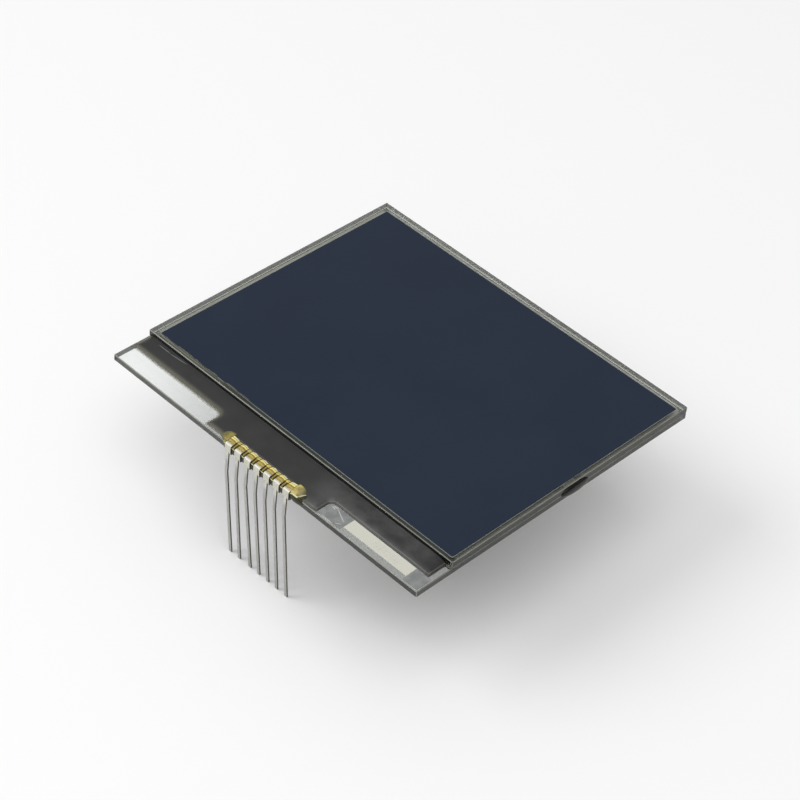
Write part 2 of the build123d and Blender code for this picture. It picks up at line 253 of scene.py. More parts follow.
class Effects:
    """Shader node groups that several finishes share, each built once."""

    def __init__(self) -> None:
        """Start with no group built."""
        self.built: dict[str, bpy.types.ShaderNodeTree] = {}

    def _group(self, name: str, inputs: dict[str, str], output: tuple[str, str],
               fill: Callable[[Graph, bpy.types.Node], bpy.types.NodeSocket],
               ) -> bpy.types.ShaderNodeTree:
        """Build a group, or return the one that is there.

        Args:
            name: Name of the group.
            inputs: Socket types by input name.
            output: Name and socket type of its output.
            fill: Makes the inner nodes and returns the result.

        Returns:
            The node group.
        """
        if name in self.built:
            return self.built[name]
        tree = bpy.data.node_groups.new(name, "ShaderNodeTree")
        for label, kind in inputs.items():
            tree.interface.new_socket(name=label, in_out="INPUT", socket_type=kind)
        tree.interface.new_socket(name=output[0], in_out="OUTPUT", socket_type=output[1])
        graph = Graph(tree)
        entry = graph.node("NodeGroupInput")
        result = fill(graph, entry)
        leave = graph.node("NodeGroupOutput")
        graph.feed(leave.inputs[0], result)
        self.built[name] = tree
        return tree

    def place(self, graph: Graph, tree: bpy.types.ShaderNodeTree,
              **values: object) -> bpy.types.NodeSocket:
        """Put a group into a material and feed its inputs.

        Args:
            graph: The material's graph.
            tree: The group to place.
            **values: Inputs by name, with _ for a space.

        Returns:
            The group's output.
        """
        made = graph.node("ShaderNodeGroup", node_tree=tree)
        for name, value in values.items():
            graph.feed(made.inputs[name.replace("_", " ")], value)
        return made.outputs[0]

    def mottle(self, graph: Graph, vector: object, size_mm: float, low: float,
               high: float) -> bpy.types.NodeSocket:
        """Cloudy variation between two values.

        Args:
            graph: The material's graph.
            vector: Where the pattern is read.
            size_mm: Size of one cloud.
            low: Value in the darkest places.
            high: Value in the lightest places.

        Returns:
            The varying value.
        """
        def fill(inner: Graph, entry: bpy.types.Node) -> bpy.types.NodeSocket:
            cloud = inner.noise(entry.outputs["Vector"], entry.outputs["Scale"])
            return inner.remap(cloud, 0.32, 0.68, entry.outputs["Low"], entry.outputs["High"])

        tree = self._group("mottle", {"Vector": VECTOR, "Scale": NUMBER, "Low": NUMBER,
                                      "High": NUMBER}, ("Value", NUMBER), fill)
        return self.place(graph, tree, Vector=vector, Scale=1 / (size_mm * MM), Low=low, High=high)

    def grain(self, graph: Graph, vector: object, size_mm: float, coarse_mm: float,
              coarse_share: float) -> bpy.types.NodeSocket:
        """Fine relief with a coarser swell under it.

        Args:
            graph: The material's graph.
            vector: Where the relief is read.
            size_mm: Size of the fine grain.
            coarse_mm: Size of the swell.
            coarse_share: How much the swell weighs against the grain.

        Returns:
            A height around 0.
        """
        def fill(inner: Graph, entry: bpy.types.Node) -> bpy.types.NodeSocket:
            fine = inner.noise(entry.outputs["Vector"], entry.outputs["Fine Scale"])
            swell = inner.noise(entry.outputs["Vector"], entry.outputs["Swell Scale"], 1.0)
            weighed = inner.math("MULTIPLY", swell, entry.outputs["Swell"])
            return inner.math("ADD", fine, weighed)

        tree = self._group("grain", {"Vector": VECTOR, "Fine Scale": NUMBER,
                                     "Swell Scale": NUMBER, "Swell": NUMBER}, ("Height", NUMBER), fill)
        return self.place(graph, tree, Vector=vector, Fine_Scale=1 / (size_mm * MM),
                          Swell_Scale=1 / (coarse_mm * MM), Swell=coarse_share)

    def upright(self, graph: Graph) -> bpy.types.NodeSocket:
        """Mask that is 1 on upright faces, such as the sheets' cut edges.

        Args:
            graph: The material's graph.

        Returns:
            The mask.
        """
        def fill(inner: Graph, entry: bpy.types.Node) -> bpy.types.NodeSocket:
            place = inner.node("ShaderNodeTexCoord")
            _, _, rise = inner.split(place.outputs["Normal"])
            return inner.remap(inner.math("ABSOLUTE", rise), 0.2, 0.5, 1.0, 0.0)

        return self.place(graph, self._group("upright", {}, ("Mask", NUMBER), fill))

    def line_marks(self, graph: Graph, across: object, along: object,
                  marks: Sequence[Sequence[float]]) -> bpy.types.NodeSocket:
        """Mask of short hairlines.

        Args:
            graph: The material's graph.
            across: Object X.
            along: Object Y.
            marks: Per hairline its middle from the ledge's corner and its half length, in mm,
                and its lean.

        Returns:
            The mask.
        """
        def fill(inner: Graph, entry: bpy.types.Node) -> bpy.types.NodeSocket:
            leant = inner.math("MULTIPLY_ADD", entry.outputs["Across"], entry.outputs["Lean"],
                               entry.outputs["Along"])
            line = inner.remap(inner.math("ABSOLUTE", leant), 0.02 * MM, 0.10 * MM, 1.0, 0.0)
            half = entry.outputs["Half"]
            ends = inner.remap(inner.math("ABSOLUTE", entry.outputs["Across"]),
                               inner.math("MULTIPLY", half, 0.4), half, 1.0, 0.0)
            return inner.math("MULTIPLY", line, ends)

        inputs = dict.fromkeys(("Across", "Along", "Half", "Lean"), NUMBER)
        tree = self._group("line_mark", inputs, ("Mask", NUMBER), fill)
        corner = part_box("rear_glass")[0]
        mask: object = 0.0
        for right_mm, inward_mm, half_mm, lean in marks:
            one = self.place(graph, tree,
                             Across=graph.math("SUBTRACT", across, corner.x + right_mm * MM),
                             Along=graph.math("SUBTRACT", along, corner.y + inward_mm * MM),
                             Half=half_mm * MM, Lean=lean)
            mask = graph.math("MAXIMUM", mask, one)
        return mask


@dataclass(frozen=True)
class Surface:
    """A material in the making, with the nodes that its finish builds on."""

    material: bpy.types.Material
    graph: Graph
    shader: bpy.types.Node
    place: bpy.types.Node

    @property
    def vector(self) -> bpy.types.NodeSocket:
        """Object coordinates."""
        return self.place.outputs["Object"]

    def paint(self, colour: object) -> None:
        """Give the shader a base colour, plain or from a socket."""
        self.graph.feed(self.shader.inputs["Base Color"], colour)


@dataclass(frozen=True)
class Finish:
    """A surface finish with an even set of shader values and varying ones on top."""

    name: str
    colour: Colour
    roughness: float = 0.4
    metallic: float = 0.0
    transmission: float = 0.0
    ior: float = 1.5
    specular: float = 0.5
    alpha: float = 1.0
    coat: float = 0.0
    coat_roughness: float = 0.05
    dark_colour: Colour | None = None
    mottle_mm: float = 4.0
    grain_mm: float = 0.1
    swell_mm: float = 3.0
    swell_share: float = 1.0
    bump_mm: float = 0.0
    edge_colour_and_shade: Colour | None = None
    shadow_pass: float = 0.0

    def start(self) -> Surface:
        """Make the material with its shader and its coordinates.

        Returns:
            The material in the making.
        """
        material = bpy.data.materials.new(self.name)
        material.use_nodes = True
        graph = Graph(material.node_tree)
        shader = graph.node("ShaderNodeBsdfPrincipled")
        out = graph.node("ShaderNodeOutputMaterial")
        graph.feed(out.inputs["Surface"], shader.outputs[0])
        for socket, value in (("Base Color", self.colour), ("Roughness", self.roughness),
                              ("Metallic", self.metallic), ("IOR", self.ior), ("Alpha", self.alpha),
                              ("Transmission Weight", self.transmission),
                              ("Specular IOR Level", self.specular), ("Coat Weight", self.coat),
                              ("Coat Roughness", self.coat_roughness)):
            graph.feed(shader.inputs[socket], value)
        if self.shadow_pass > 0:
            path = graph.node("ShaderNodeLightPath")
            ray = graph.math("MAXIMUM", path.outputs["Is Shadow Ray"],
                             path.outputs["Is Diffuse Ray"])
            passed = graph.math("MULTIPLY", ray, self.shadow_pass)
            graph.feed(shader.inputs["Alpha"], graph.math("SUBTRACT", self.alpha, passed))
        return Surface(material, graph, shader, graph.node("ShaderNodeTexCoord"))

    def build(self, effects: Effects) -> bpy.types.Material:
        """Make the material.

        Args:
            effects: The shared node groups.

        Returns:
            The material.
        """
        surface = self.start()
        graph, shader, vector = surface.graph, surface.shader, surface.vector
        colour: object = self.colour
        if self.dark_colour is not None:
            cloud = effects.mottle(graph, vector, self.mottle_mm, 0.0, 1.0)
            colour = graph.mix(cloud, self.dark_colour, self.colour)
        # Upright faces take edge_colour_and_shade: painted shade on the glass's cut edges, and the film's
        # own lighter colour on its cut edges.
        if self.edge_colour_and_shade is not None:
            colour = graph.mix(effects.upright(graph), colour, self.edge_colour_and_shade)
        surface.paint(colour)
        if self.roughness > 0:
            spread = effects.mottle(graph, vector, self.mottle_mm, 0.88, 1.12)
            graph.feed(shader.inputs["Roughness"], graph.math("MULTIPLY", spread, self.roughness))
        if self.bump_mm > 0:
            relief = effects.grain(graph, vector, self.grain_mm, self.swell_mm, self.swell_share)
            graph.feed(shader.inputs["Normal"], graph.bump(relief, self.bump_mm * MM, 1.0))
        self.detail(effects, surface, colour)
        return surface.material

    def detail(self, effects: Effects, surface: Surface, base: object) -> None:
        """Add what a special finish varies by place, which is nothing for a plain one."""


class CoatingFinish(Finish):
    """Black resin, clear and olive where it thins out at its rim, with painted reflection patches, painted
    highlight streaks and a painted highlight line in its rim.
    """

    REFLECTION_PATCH = (0.055, 0.056, 0.054)
    THIN = (0.125, 0.12, 0.085)
    STREAK_HIGHLIGHT = (0.23, 0.235, 0.245)
    OUTLINE = (0.03, 0.03, 0.026)
    MENISCUS_HIGHLIGHT = (0.125, 0.123, 0.105)
    LEFT_END_MM = (-9.0, -6.0)
    RIGHT_END_MM = (6.0, 9.0)
    REFLECTION_PATCHES_MM = (6.0, 11.0)
    HIGHLIGHT_START_MM = (9.0, 10.5)
    HIGHLIGHT_COVER = 0.27
    BRUSH_STRETCH = (1.0, 0.3, 1.0)
    HIGHLIGHT_STREAKS = ((4.3, 6.05, 1.5, 0.0), (7.2, 6.15, 2.0, -0.11))

    def detail(self, effects: Effects, surface: Surface, base: object) -> None:
        """Colour the resin by its cover attribute and let its rim thin out.

        Args:
            effects: The shared node groups.
            surface: The material in the making.
            base: Its colour so far.
        """
        graph = surface.graph
        across, along, _ = graph.split(surface.vector)
        cover = graph.node("ShaderNodeAttribute", attribute_name=LedgeCoating.COVER).outputs["Fac"]
        steepness = graph.math("ADD", graph.ramp(across, self.LEFT_END_MM, 1.0, 1.7),
                               graph.ramp(across, self.RIGHT_END_MM, 0.0, 1.1))
        depth = graph.math("MULTIPLY", cover, steepness)
        brushed = graph.node("ShaderNodeMapping", vector_type="POINT")
        graph.feed(brushed.inputs["Vector"], surface.vector)
        brushed.inputs["Scale"].default_value = self.BRUSH_STRETCH
        streak = effects.mottle(graph, brushed.outputs[0], 7.0, -0.02, 0.02)
        # Pale patches towards the right end are painted reflection.
        reflection_patch = effects.mottle(graph, surface.vector, 4.5, 0.0, 1.0)
        near_right = graph.ramp(across, self.REFLECTION_PATCHES_MM, 0.15, 1.0)
        black = graph.mix(graph.math("MULTIPLY", reflection_patch, near_right), base, self.REFLECTION_PATCH)
        body = graph.remap(depth, 0.1, 0.8)
        # The pale streaks on the resin by the step are a painted highlight.
        marks = effects.line_marks(graph, across, along, self.HIGHLIGHT_STREAKS)
        black = graph.mix(graph.math("MULTIPLY", marks, 0.75), black, self.STREAK_HIGHLIGHT)
        outlined = graph.ramp(across, self.RIGHT_END_MM, 0.0, 0.9)
        coloured = graph.mix(body, graph.mix(outlined, self.THIN, self.OUTLINE), black)
        # A pale line along the rim's right part is a painted highlight on the meniscus.
        aside = graph.math("ABSOLUTE", graph.math("SUBTRACT", cover, self.HIGHLIGHT_COVER))
        meniscus_highlight = graph.math("MULTIPLY", graph.remap(aside, 0.015, 0.05, 0.8, 0.0),
                            graph.ramp(across, self.HIGHLIGHT_START_MM))
        surface.paint(graph.mix(meniscus_highlight, coloured, self.MENISCUS_HIGHLIGHT))
        thin = graph.math("ADD", depth, streak)
        graph.feed(surface.shader.inputs["Alpha"], graph.remap(thin, 0.0, 0.46, 0.12, 1.0))


class ResidueAndShadeFinish(Finish):
    """Residue with a few bright strings in it, whose grey body over the bare ledge is painted shade."""

    STRING = (0.52, 0.53, 0.52)
    FADE_MM = (0.0, 0.15)
    STRINGS = ((45.75, 2.25, 1.5, 0.49), (44.9, 0.34, 1.4, 0.0), (44.1, 2.86, 0.5, 0.0),
               (44.0, 2.58, 0.45, 0.1), (44.5, 3.08, 0.4, -0.1), (46.6, 0.9, 0.5, -0.6))

    def detail(self, effects: Effects, surface: Surface, base: object) -> None:
        """Draw the bright strings and fade the two open borders.

        Args:
            effects: The shared node groups.
            surface: The material in the making.
            base: Its colour so far.
        """
        graph = surface.graph
        across, along, _ = graph.split(surface.vector)
        strings = effects.line_marks(graph, across, along, self.STRINGS)
        surface.paint(graph.mix(strings, base, self.STRING))
        low = LedgeResidueAndShade().extent()[0]
        high = LedgeResidueAndShade(beyond_label=True).extent()[1]
        inside = graph.math("MINIMUM", graph.math("SUBTRACT", along, low.y),
                            graph.math("SUBTRACT", high.x, across))
        graph.feed(surface.shader.inputs["Alpha"], graph.ramp(inside, self.FADE_MM))


class SealFinish(Finish):
    """Olive seal glue with painted shade along the ledge, where the black resin keeps light out."""

    RESIN_SHADE = (0.065, 0.067, 0.058)
    WEAK_RESIN_SHADE = (0.15, 0.15, 0.125)
    RESIN_SHADE_END_MM = (1.3, 1.8)
    WEAKENING_MM = (-28.0, -4.0)

    def detail(self, effects: Effects, surface: Surface, base: object) -> None:
        """Paint shade on the glue along the ledge.

        Args:
            effects: The shared node groups.
            surface: The material in the making.
            base: Its colour so far.
        """
        graph = surface.graph
        across, along, _ = graph.split(surface.vector)
        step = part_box("front_glass")[0].y
        # The dark band along the ledge is painted shade, weaker towards the left end.
        resin_shaded = graph.ramp(along, self.RESIN_SHADE_END_MM, 1.0, 0.0, step)
        weaker = graph.ramp(across, self.WEAKENING_MM, 1.0, 0.0)
        resin_shade = graph.mix(weaker, self.RESIN_SHADE, self.WEAK_RESIN_SHADE)
        surface.paint(graph.mix(resin_shaded, base, resin_shade))


class GlassFinish(Finish):
    """Clear sheet glass with painted shade on its cut edges: near black from outside and greyer where they
    are seen through the sheet.
    """

    THROUGH_SHADE = (0.027, 0.028, 0.0245)
    FAR_BORDER_MM = (-0.3, -0.1)
    LEFT_BORDER_MM = (0.1, 0.3)

    def detail(self, effects: Effects, surface: Surface, base: object) -> None:
        """Paint a greyer shade on the cut edges that are seen through the sheet.

        Args:
            effects: The shared node groups.
            surface: The material in the making.
            base: Its colour so far.
        """
        graph = surface.graph
        across, along, _ = graph.split(surface.vector)
        low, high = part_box("front_glass")
        behind = graph.math("MAXIMUM", graph.ramp(along, self.FAR_BORDER_MM, start=high.y),
                            graph.ramp(across, self.LEFT_BORDER_MM, 1.0, 0.0, low.x))
        # Cut edges seen through the sheet get a greyer painted shade.
        seen = graph.math("MULTIPLY", behind, effects.upright(graph))
        surface.paint(graph.mix(seen, base, self.THROUGH_SHADE))


class SeamFinish(Finish):
    """Frosted grind that is dimmer on the far side, with painted shade from the black resin along the step.
    """

    FAR = (0.20, 0.205, 0.178)
    STEP_SHADE = (0.12, 0.125, 0.105)
    FAR_SIDE_MM = (-1.2, -0.6)
    STEP_WIDTH_MM = (0.2, 0.3)
    STEP_LEFT_MM = 10
    STEP_RIGHT_MM = 6

    def detail(self, effects: Effects, surface: Surface, base: object) -> None:
        """Dim the grind on the far side and paint shade along the step.

        Args:
            effects: The shared node groups.
            surface: The material in the making.
            base: Its colour so far.
        """
        graph = surface.graph
        across, along, _ = graph.split(surface.vector)
        low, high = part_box("front_glass")
        far = graph.ramp(along, self.FAR_SIDE_MM, start=high.y)
        colour = graph.mix(far, base, self.FAR)
        # Along the step the grind gets painted shade from the black resin.
        off = graph.math("ABSOLUTE", graph.math("SUBTRACT", along, low.y))
        step_shade_share = graph.remap(across, low.x + self.STEP_LEFT_MM * MM,
                              high.x - self.STEP_RIGHT_MM * MM, 0.0, 0.8)
        step = graph.math("MULTIPLY", graph.ramp(off, self.STEP_WIDTH_MM, 1.0, 0.0), step_shade_share)
        surface.paint(graph.mix(step, colour, self.STEP_SHADE))


class MarginShadeFinish(Finish):
    """Painted shade on the front sheet's margin, greyer towards its left end and thin at both ends."""

    GREY = (0.07, 0.072, 0.06)
    PALE = (0.17, 0.172, 0.14)
    GREY_END_MM = (6, 18)
    FILM_SIDE_MM = (-0.30, -0.14)
    FADE_MM = (0.0, 0.6)

    def detail(self, effects: Effects, surface: Surface, base: object) -> None:
        """Grey the painted shade to the left and fade its ends.

        Args:
            effects: The shared node groups.
            surface: The material in the making.
            base: Its colour so far.
        """
        graph = surface.graph
        across, along, _ = graph.split(surface.vector)
        low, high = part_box("front_polarizer")
        left = graph.ramp(across, self.GREY_END_MM, 1.0, 0.0, low.x)
        beside = graph.ramp(along, self.FILM_SIDE_MM, start=low.y)
        grey = graph.mix(beside, self.GREY, self.PALE)
        surface.paint(graph.mix(left, base, grey))
        ends = graph.math("MINIMUM", graph.math("SUBTRACT", across, low.x),
                          graph.math("SUBTRACT", high.x, across))
        graph.feed(surface.shader.inputs["Alpha"], graph.ramp(ends, self.FADE_MM))


class FilmFinish(Finish):
    """Dark polarizing film with a ragged pale line where it was torn along part of the ledge side."""

    TORN = (0.125, 0.13, 0.10)
    RAGGED_MM = (-0.10, 0.22)
    TORN_EDGE_MM = (-0.04, 0.06)
    TORN_END_MM = (14, 24)

    def detail(self, effects: Effects, surface: Surface, base: object) -> None:
        """Draw the torn line along the ledge side.

        Args:
            effects: The shared node groups.
            surface: The material in the making.
            base: Its colour so far.
        """
        graph = surface.graph
        across, along, _ = graph.split(surface.vector)
        low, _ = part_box("front_polarizer")
        least, most = (reach_mm * MM for reach_mm in self.RAGGED_MM)
        reach = effects.mottle(graph, surface.vector, 1.8, least, most)
        inward = graph.math("SUBTRACT", along, low.y)
        torn = graph.ramp(graph.math("SUBTRACT", inward, reach), self.TORN_EDGE_MM, 1.0, 0.0)
        near = graph.ramp(across, self.TORN_END_MM, 1.0, 0.0, low.x)
        surface.paint(graph.mix(graph.math("MULTIPLY", torn, near), base, self.TORN))


class BeadFinish(Finish):
    """Amber adhesive, olive in its end lobes, with painted light over it: bright bars and dark lines across
    the fingers, painted shade beside and beyond them and on its front, and painted highlight lines on its
    rim and crest.
    """

    HEEL = (0.26, 0.19, 0.03)
    GAP_SHADE = (0.022, 0.021, 0.006)
    BEYOND_SHADE = (0.022, 0.021, 0.010)
    LEFT_NEAR = (0.45, 0.37, 0.09)
    LEFT_TIP = (0.10, 0.098, 0.05)
    RIGHT_NEAR = (0.86, 0.70, 0.22)
    RIGHT_TIP = (0.16, 0.148, 0.08)
    CLOUD = (0.13, 0.115, 0.04)
    FRONT_SHADE = (0.028, 0.030, 0.010)
    UNDERSIDE_SHADE = (0.030, 0.031, 0.012)
    RIM_HIGHLIGHT = (0.80, 0.76, 0.48)
    CREST_HIGHLIGHT = (0.72, 0.69, 0.40)
    PIN_GAPS = 6
    HEEL_END_MM = (0.66, 0.82)
    ROW_END_MM = (-0.12, 0.25)
    BAR_BORDER_MM = 0.06
    BEYOND_MM = (1.38, 1.46)
    LOBE_MM = (0, 1.9)
    SIDES_MM = (-1.0, 1.0)
    LIFT_MM = (0, 0.5)
    LOW_LIFT_MM = 0.03
    HIGH_LIFT_MM = 0.26
    FRONT_MM = (0.0, 0.12)
    UNDER_MM = (-0.12, -0.04)
    LINE_MM = (0.04, 0.10)
    SKIRT_SLOPE = 0.55
    SKIRT_START_MM = 1.45
    SKIRT_MM = (0.02, 0.08)
    CREST_START_MM = (-0.02, 0.08)
    # Bars across each finger: the bright ones are painted highlight and the dark ones painted shade, over
    # the amber of the glue on the tin.
    LIT_AND_SHADED_BARS = ((0.92, 0.11, 0.95, (0.95, 0.80, 0.27)), (1.10, 0.0, 0.9, (0.09, 0.07, 0.02)),
            (1.26, 0.09, 0.95, (0.95, 0.90, 0.60)), (0.70, 0.01, 0.8, (0.10, 0.07, 0.015)),
            (0.42, 0.06, 0.5, (0.62, 0.50, 0.20)))

    def detail(self, effects: Effects, surface: Surface, base: object) -> None:
        """Colour the fingers' row and the end lobes, and paint highlights and shade over the row and the
        bead's front.

        Args:
            effects: The shared node groups.
            surface: The material in the making.
            base: Its colour so far.
        """
        graph = surface.graph
        across, along, rise = graph.split(surface.vector)
        first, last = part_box("pin_1"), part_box("pin_7")
        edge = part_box("rear_glass")[0].y
        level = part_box("rear_glass")[1].z
        pitch = (last[0].x - first[0].x) / self.PIN_GAPS
        middle = (first[0].x + first[1].x) / 2
        inward = graph.math("SUBTRACT", along, edge)
        near = graph.ramp(inward, self.HEEL_END_MM, 1.0, 0.0)
        end = last[1].x
        row = graph.ramp(graph.math("ABSOLUTE", across), self.ROW_END_MM, 1.0, 0.0, end)

        turns = graph.math("DIVIDE", graph.math("SUBTRACT", across, middle - pitch / 2), pitch)
        off = graph.math("ABSOLUTE", graph.math("SUBTRACT", graph.math("FRACT", turns), 0.5))
        finger_half = graph.math("MULTIPLY_ADD", near, 0.045, 0.33)
        spread = graph.math("ABSOLUTE", graph.math("SUBTRACT", off, finger_half))
        gap_half = graph.math("MULTIPLY_ADD", near, 0.04, 0.018)
        gap = graph.remap(graph.math("SUBTRACT", spread, gap_half), 0.0, 0.03, 0.96, 0.0)
        finger = graph.remap(off, 0.27, 0.33, 1.0, 0.25)
        colour = graph.mix(graph.math("MULTIPLY", near, 0.75), base, self.HEEL)
        # Painted highlight and shade bars across the fingers.
        for middle_mm, half_mm, share, tone in self.LIT_AND_SHADED_BARS:
            aside = graph.math("ABSOLUTE", graph.math("SUBTRACT", inward, middle_mm * MM))
            bar = graph.remap(aside, half_mm * MM, (half_mm + self.BAR_BORDER_MM) * MM, share, 0.0)
            colour = graph.mix(graph.math("MULTIPLY", bar, finger), colour, tone)
        # Beside each finger the bead is near black with painted shade.
        colour = graph.mix(gap, colour, self.GAP_SHADE)
        # Past the bead's far edge it gets painted shade.
        beyond = graph.ramp(inward, self.BEYOND_MM, 0.0, 0.95)
        colour = graph.mix(beyond, colour, self.BEYOND_SHADE)

        reach = graph.ramp(graph.math("ABSOLUTE", across), self.LOBE_MM, start=end)
        side = graph.ramp(across, self.SIDES_MM)
        lobe = graph.mix(side, graph.mix(reach, self.LEFT_NEAR, self.LEFT_TIP),
                         graph.mix(reach, self.RIGHT_NEAR, self.RIGHT_TIP))
        cloud = effects.mottle(graph, surface.vector, 0.6, 0.0, 0.6)
        lobe = graph.mix(cloud, lobe, self.CLOUD)
        colour = graph.mix(row, lobe, colour)
        # Upright faces of the bead get painted shade.
        colour = graph.mix(effects.upright(graph), colour, self.FRONT_SHADE)
        lift = graph.ramp(across, self.LIFT_MM, self.LOW_LIFT_MM * MM, self.HIGH_LIFT_MM * MM, end)
        height = graph.math("SUBTRACT", rise, graph.math("ADD", lift, level))
        front = graph.ramp(inward, self.FRONT_MM, 1.0, 0.0)
        outer = graph.math("MULTIPLY", front, graph.math("GREATER_THAN", across, end))
        # Low on the right lobe's front the bead gets painted shade.
        under = graph.math("MULTIPLY", graph.ramp(height, self.UNDER_MM, 0.97, 0.0), outer)
        colour = graph.mix(under, colour, self.UNDERSIDE_SHADE)
        # A pale line at the ledge's top edge along the bead's front is a painted highlight.
        line = graph.ramp(graph.math("ABSOLUTE", height), self.LINE_MM, 0.9, 0.0)
        rim = graph.math("MULTIPLY", line, front)
        colour = graph.mix(rim, colour, self.RIM_HIGHLIGHT)

        slope = graph.math("MULTIPLY_ADD", inward, self.SKIRT_SLOPE,
                           end + self.SKIRT_START_MM * MM)
        shoulder = graph.math("SUBTRACT", across, slope)
        # Past the right lobe's shoulder the bead gets painted shade.
        skirt = graph.ramp(shoulder, self.SKIRT_MM, 0.0, 0.97)
        colour = graph.mix(skirt, colour, self.UNDERSIDE_SHADE)
        # A pale line along the right lobe's shoulder is a painted highlight.
        line = graph.ramp(graph.math("ABSOLUTE", shoulder), self.LINE_MM, 0.9, 0.0)
        crest = graph.math("MULTIPLY", line, graph.ramp(inward, self.CREST_START_MM))
        surface.paint(graph.mix(crest, colour, self.CREST_HIGHLIGHT))


class TinFinish(Finish):
    """Bright tin on the pins' plates that turns dull down their legs, with painted shade on their side
    faces.
    """

    DULL_DARK = (0.33, 0.327, 0.31)
    DULL_LIGHT = (0.47, 0.465, 0.44)
    SIDE_SHADE = (0.105, 0.10, 0.085)
    LEG_START_MM = (-1.6, -0.2)
    DRAWN_STRETCH = (1.0, 1.0, 0.06)

    def detail(self, effects: Effects, surface: Surface, base: object) -> None:
        """Dull the legs and paint shade on the side faces.

        Args:
            effects: The shared node groups.
            surface: The material in the making.
            base: Its colour so far.
        """
        graph = surface.graph
        _, _, rise = graph.split(surface.vector)
        leg = graph.ramp(rise, self.LEG_START_MM, 1.0, 0.0)
        drawn = graph.node("ShaderNodeMapping", vector_type="POINT")
        graph.feed(drawn.inputs["Vector"], surface.vector)
        drawn.inputs["Scale"].default_value = self.DRAWN_STRETCH
        streak = effects.mottle(graph, drawn.outputs[0], 0.12, 0.0, 1.0)
        dull = graph.mix(streak, self.DULL_DARK, self.DULL_LIGHT)
        # Faces turned along X get painted shade.
        facing, _, _ = graph.split(surface.place.outputs["Normal"])
        side_shade = graph.remap(graph.math("ABSOLUTE", facing), 0.6, 0.9)
        coloured = graph.mix(leg, base, dull)
        surface.paint(graph.mix(side_shade, coloured, self.SIDE_SHADE))


@dataclass
class LabelFinish:
    """Cream paper with a few short rows of faint grey ticks."""

    name: str = "label_paper"
    paper: Colour = (0.585, 0.58, 0.51)
    ink: Colour = (0.42, 0.42, 0.40)
    row_pitch_mm: float = 0.42
    row_width: float = 0.3
    tick_mm: float = 0.16
    tick_stretch: float = 0.35
    tick_threshold: float = 0.52
    print_shift: float = 0.10
    print_half_width: float = 0.20
    print_half_depth_mm: float = 0.62
    faintness: float = 0.45

    def build(self, effects: Effects) -> bpy.types.Material:
        """Make the material.

        Args:
            effects: The shared node groups.

        Returns:
            The material.
        """
        surface = Finish(self.name, self.paper, roughness=0.55, specular=0.35).start()
        graph, vector = surface.graph, surface.vector
        low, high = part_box("lot_label")
        middle = (low + high) / 2
        length = high.x - low.x
        moved = graph.node("ShaderNodeMapping", vector_type="POINT")
        graph.feed(moved.inputs["Vector"], vector)
        moved.inputs["Location"].default_value = -middle
        across, along, _ = graph.split(moved.outputs[0])
        wave = graph.math("FRACT", graph.math("MULTIPLY", along, 1 / (self.row_pitch_mm * MM)))
        off = graph.math("ABSOLUTE", graph.math("SUBTRACT", wave, 0.5))
        rows = graph.math("LESS_THAN", off, self.row_width)
        stretched = graph.node("ShaderNodeMapping", vector_type="POINT")
        graph.feed(stretched.inputs["Vector"], vector)
        stretched.inputs["Scale"].default_value = (1.0, self.tick_stretch, 1.0)
        ticks = graph.noise(stretched.outputs[0], 1 / (self.tick_mm * MM), 0.0)
        marks = graph.math("GREATER_THAN", ticks, self.tick_threshold)
        aside = graph.math("SUBTRACT", across, self.print_shift * length)
        span_x = graph.math("LESS_THAN", graph.math("ABSOLUTE", aside),
                            self.print_half_width * length)
        span_y = graph.math("LESS_THAN", graph.math("ABSOLUTE", along),
                            self.print_half_depth_mm * MM)
        ink = graph.math("MULTIPLY", graph.math("MULTIPLY", rows, marks),
                         graph.math("MULTIPLY", span_x, span_y))
        faint = graph.math("MULTIPLY", ink, self.faintness)
        surface.paint(graph.mix(faint, self.paper, self.ink))
        fibre = effects.grain(graph, vector, 0.06, 1.5, 0.5)
        graph.feed(surface.shader.inputs["Normal"], graph.bump(fibre, 0.006 * MM, 1.0))
        return surface.material


def finish_mesh(name: str, shape: bmesh.types.BMesh, material: bpy.types.Material, slot: Slot,
                smooth: bool = True) -> bpy.types.Object:
    """Turn a bmesh into a piece that rides on the cell.

    Args:
        name: Name of the piece.
        shape: The finished shape, in metres.
        material: Its material.
        slot: The record's slot of the piece; not used.
        smooth: Whether its faces are shaded smooth.

    Returns:
        The new object.
    """
    mesh = bpy.data.meshes.new(name)
    shape.to_mesh(mesh)
    shape.free()
    for face in mesh.polygons:
        face.use_smooth = smooth
    piece = bpy.data.objects.new(name, mesh)
    bpy.context.scene.collection.objects.link(piece)
    mesh.materials.append(material)
    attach(piece, "root")
    LOG.info("%s: %d faces", name, len(mesh.polygons))
    return piece


def whole(shape: bmesh.types.BMesh) -> list:
    """Give all vertices, edges and faces of a bmesh."""
    return shape.verts[:] + shape.edges[:] + shape.faces[:]


def add_box(shape: bmesh.types.BMesh, low: Vector, high: Vector) -> None:
    """Add a box between two corners.

    Args:
        shape: The bmesh to add it to.
        low: The low corner.
        high: The high corner.
    """
    sized = Matrix.Diagonal((*(high - low), 1.0))
    bmesh.ops.create_cube(shape, size=1.0, matrix=Matrix.Translation((low + high) / 2) @ sized)


def apply_modifiers(piece: bpy.types.Object) -> None:
    """Replace a piece's mesh by what its modifiers make of it.

    Args:
        piece: The object, which keeps its materials.
    """
    seen = piece.evaluated_get(bpy.context.evaluated_depsgraph_get())
    mesh = bpy.data.meshes.new_from_object(seen)
    old = piece.data
    piece.modifiers.clear()
    piece.data = mesh
    bpy.data.meshes.remove(old)
    for face in mesh.polygons:
        face.use_smooth = True


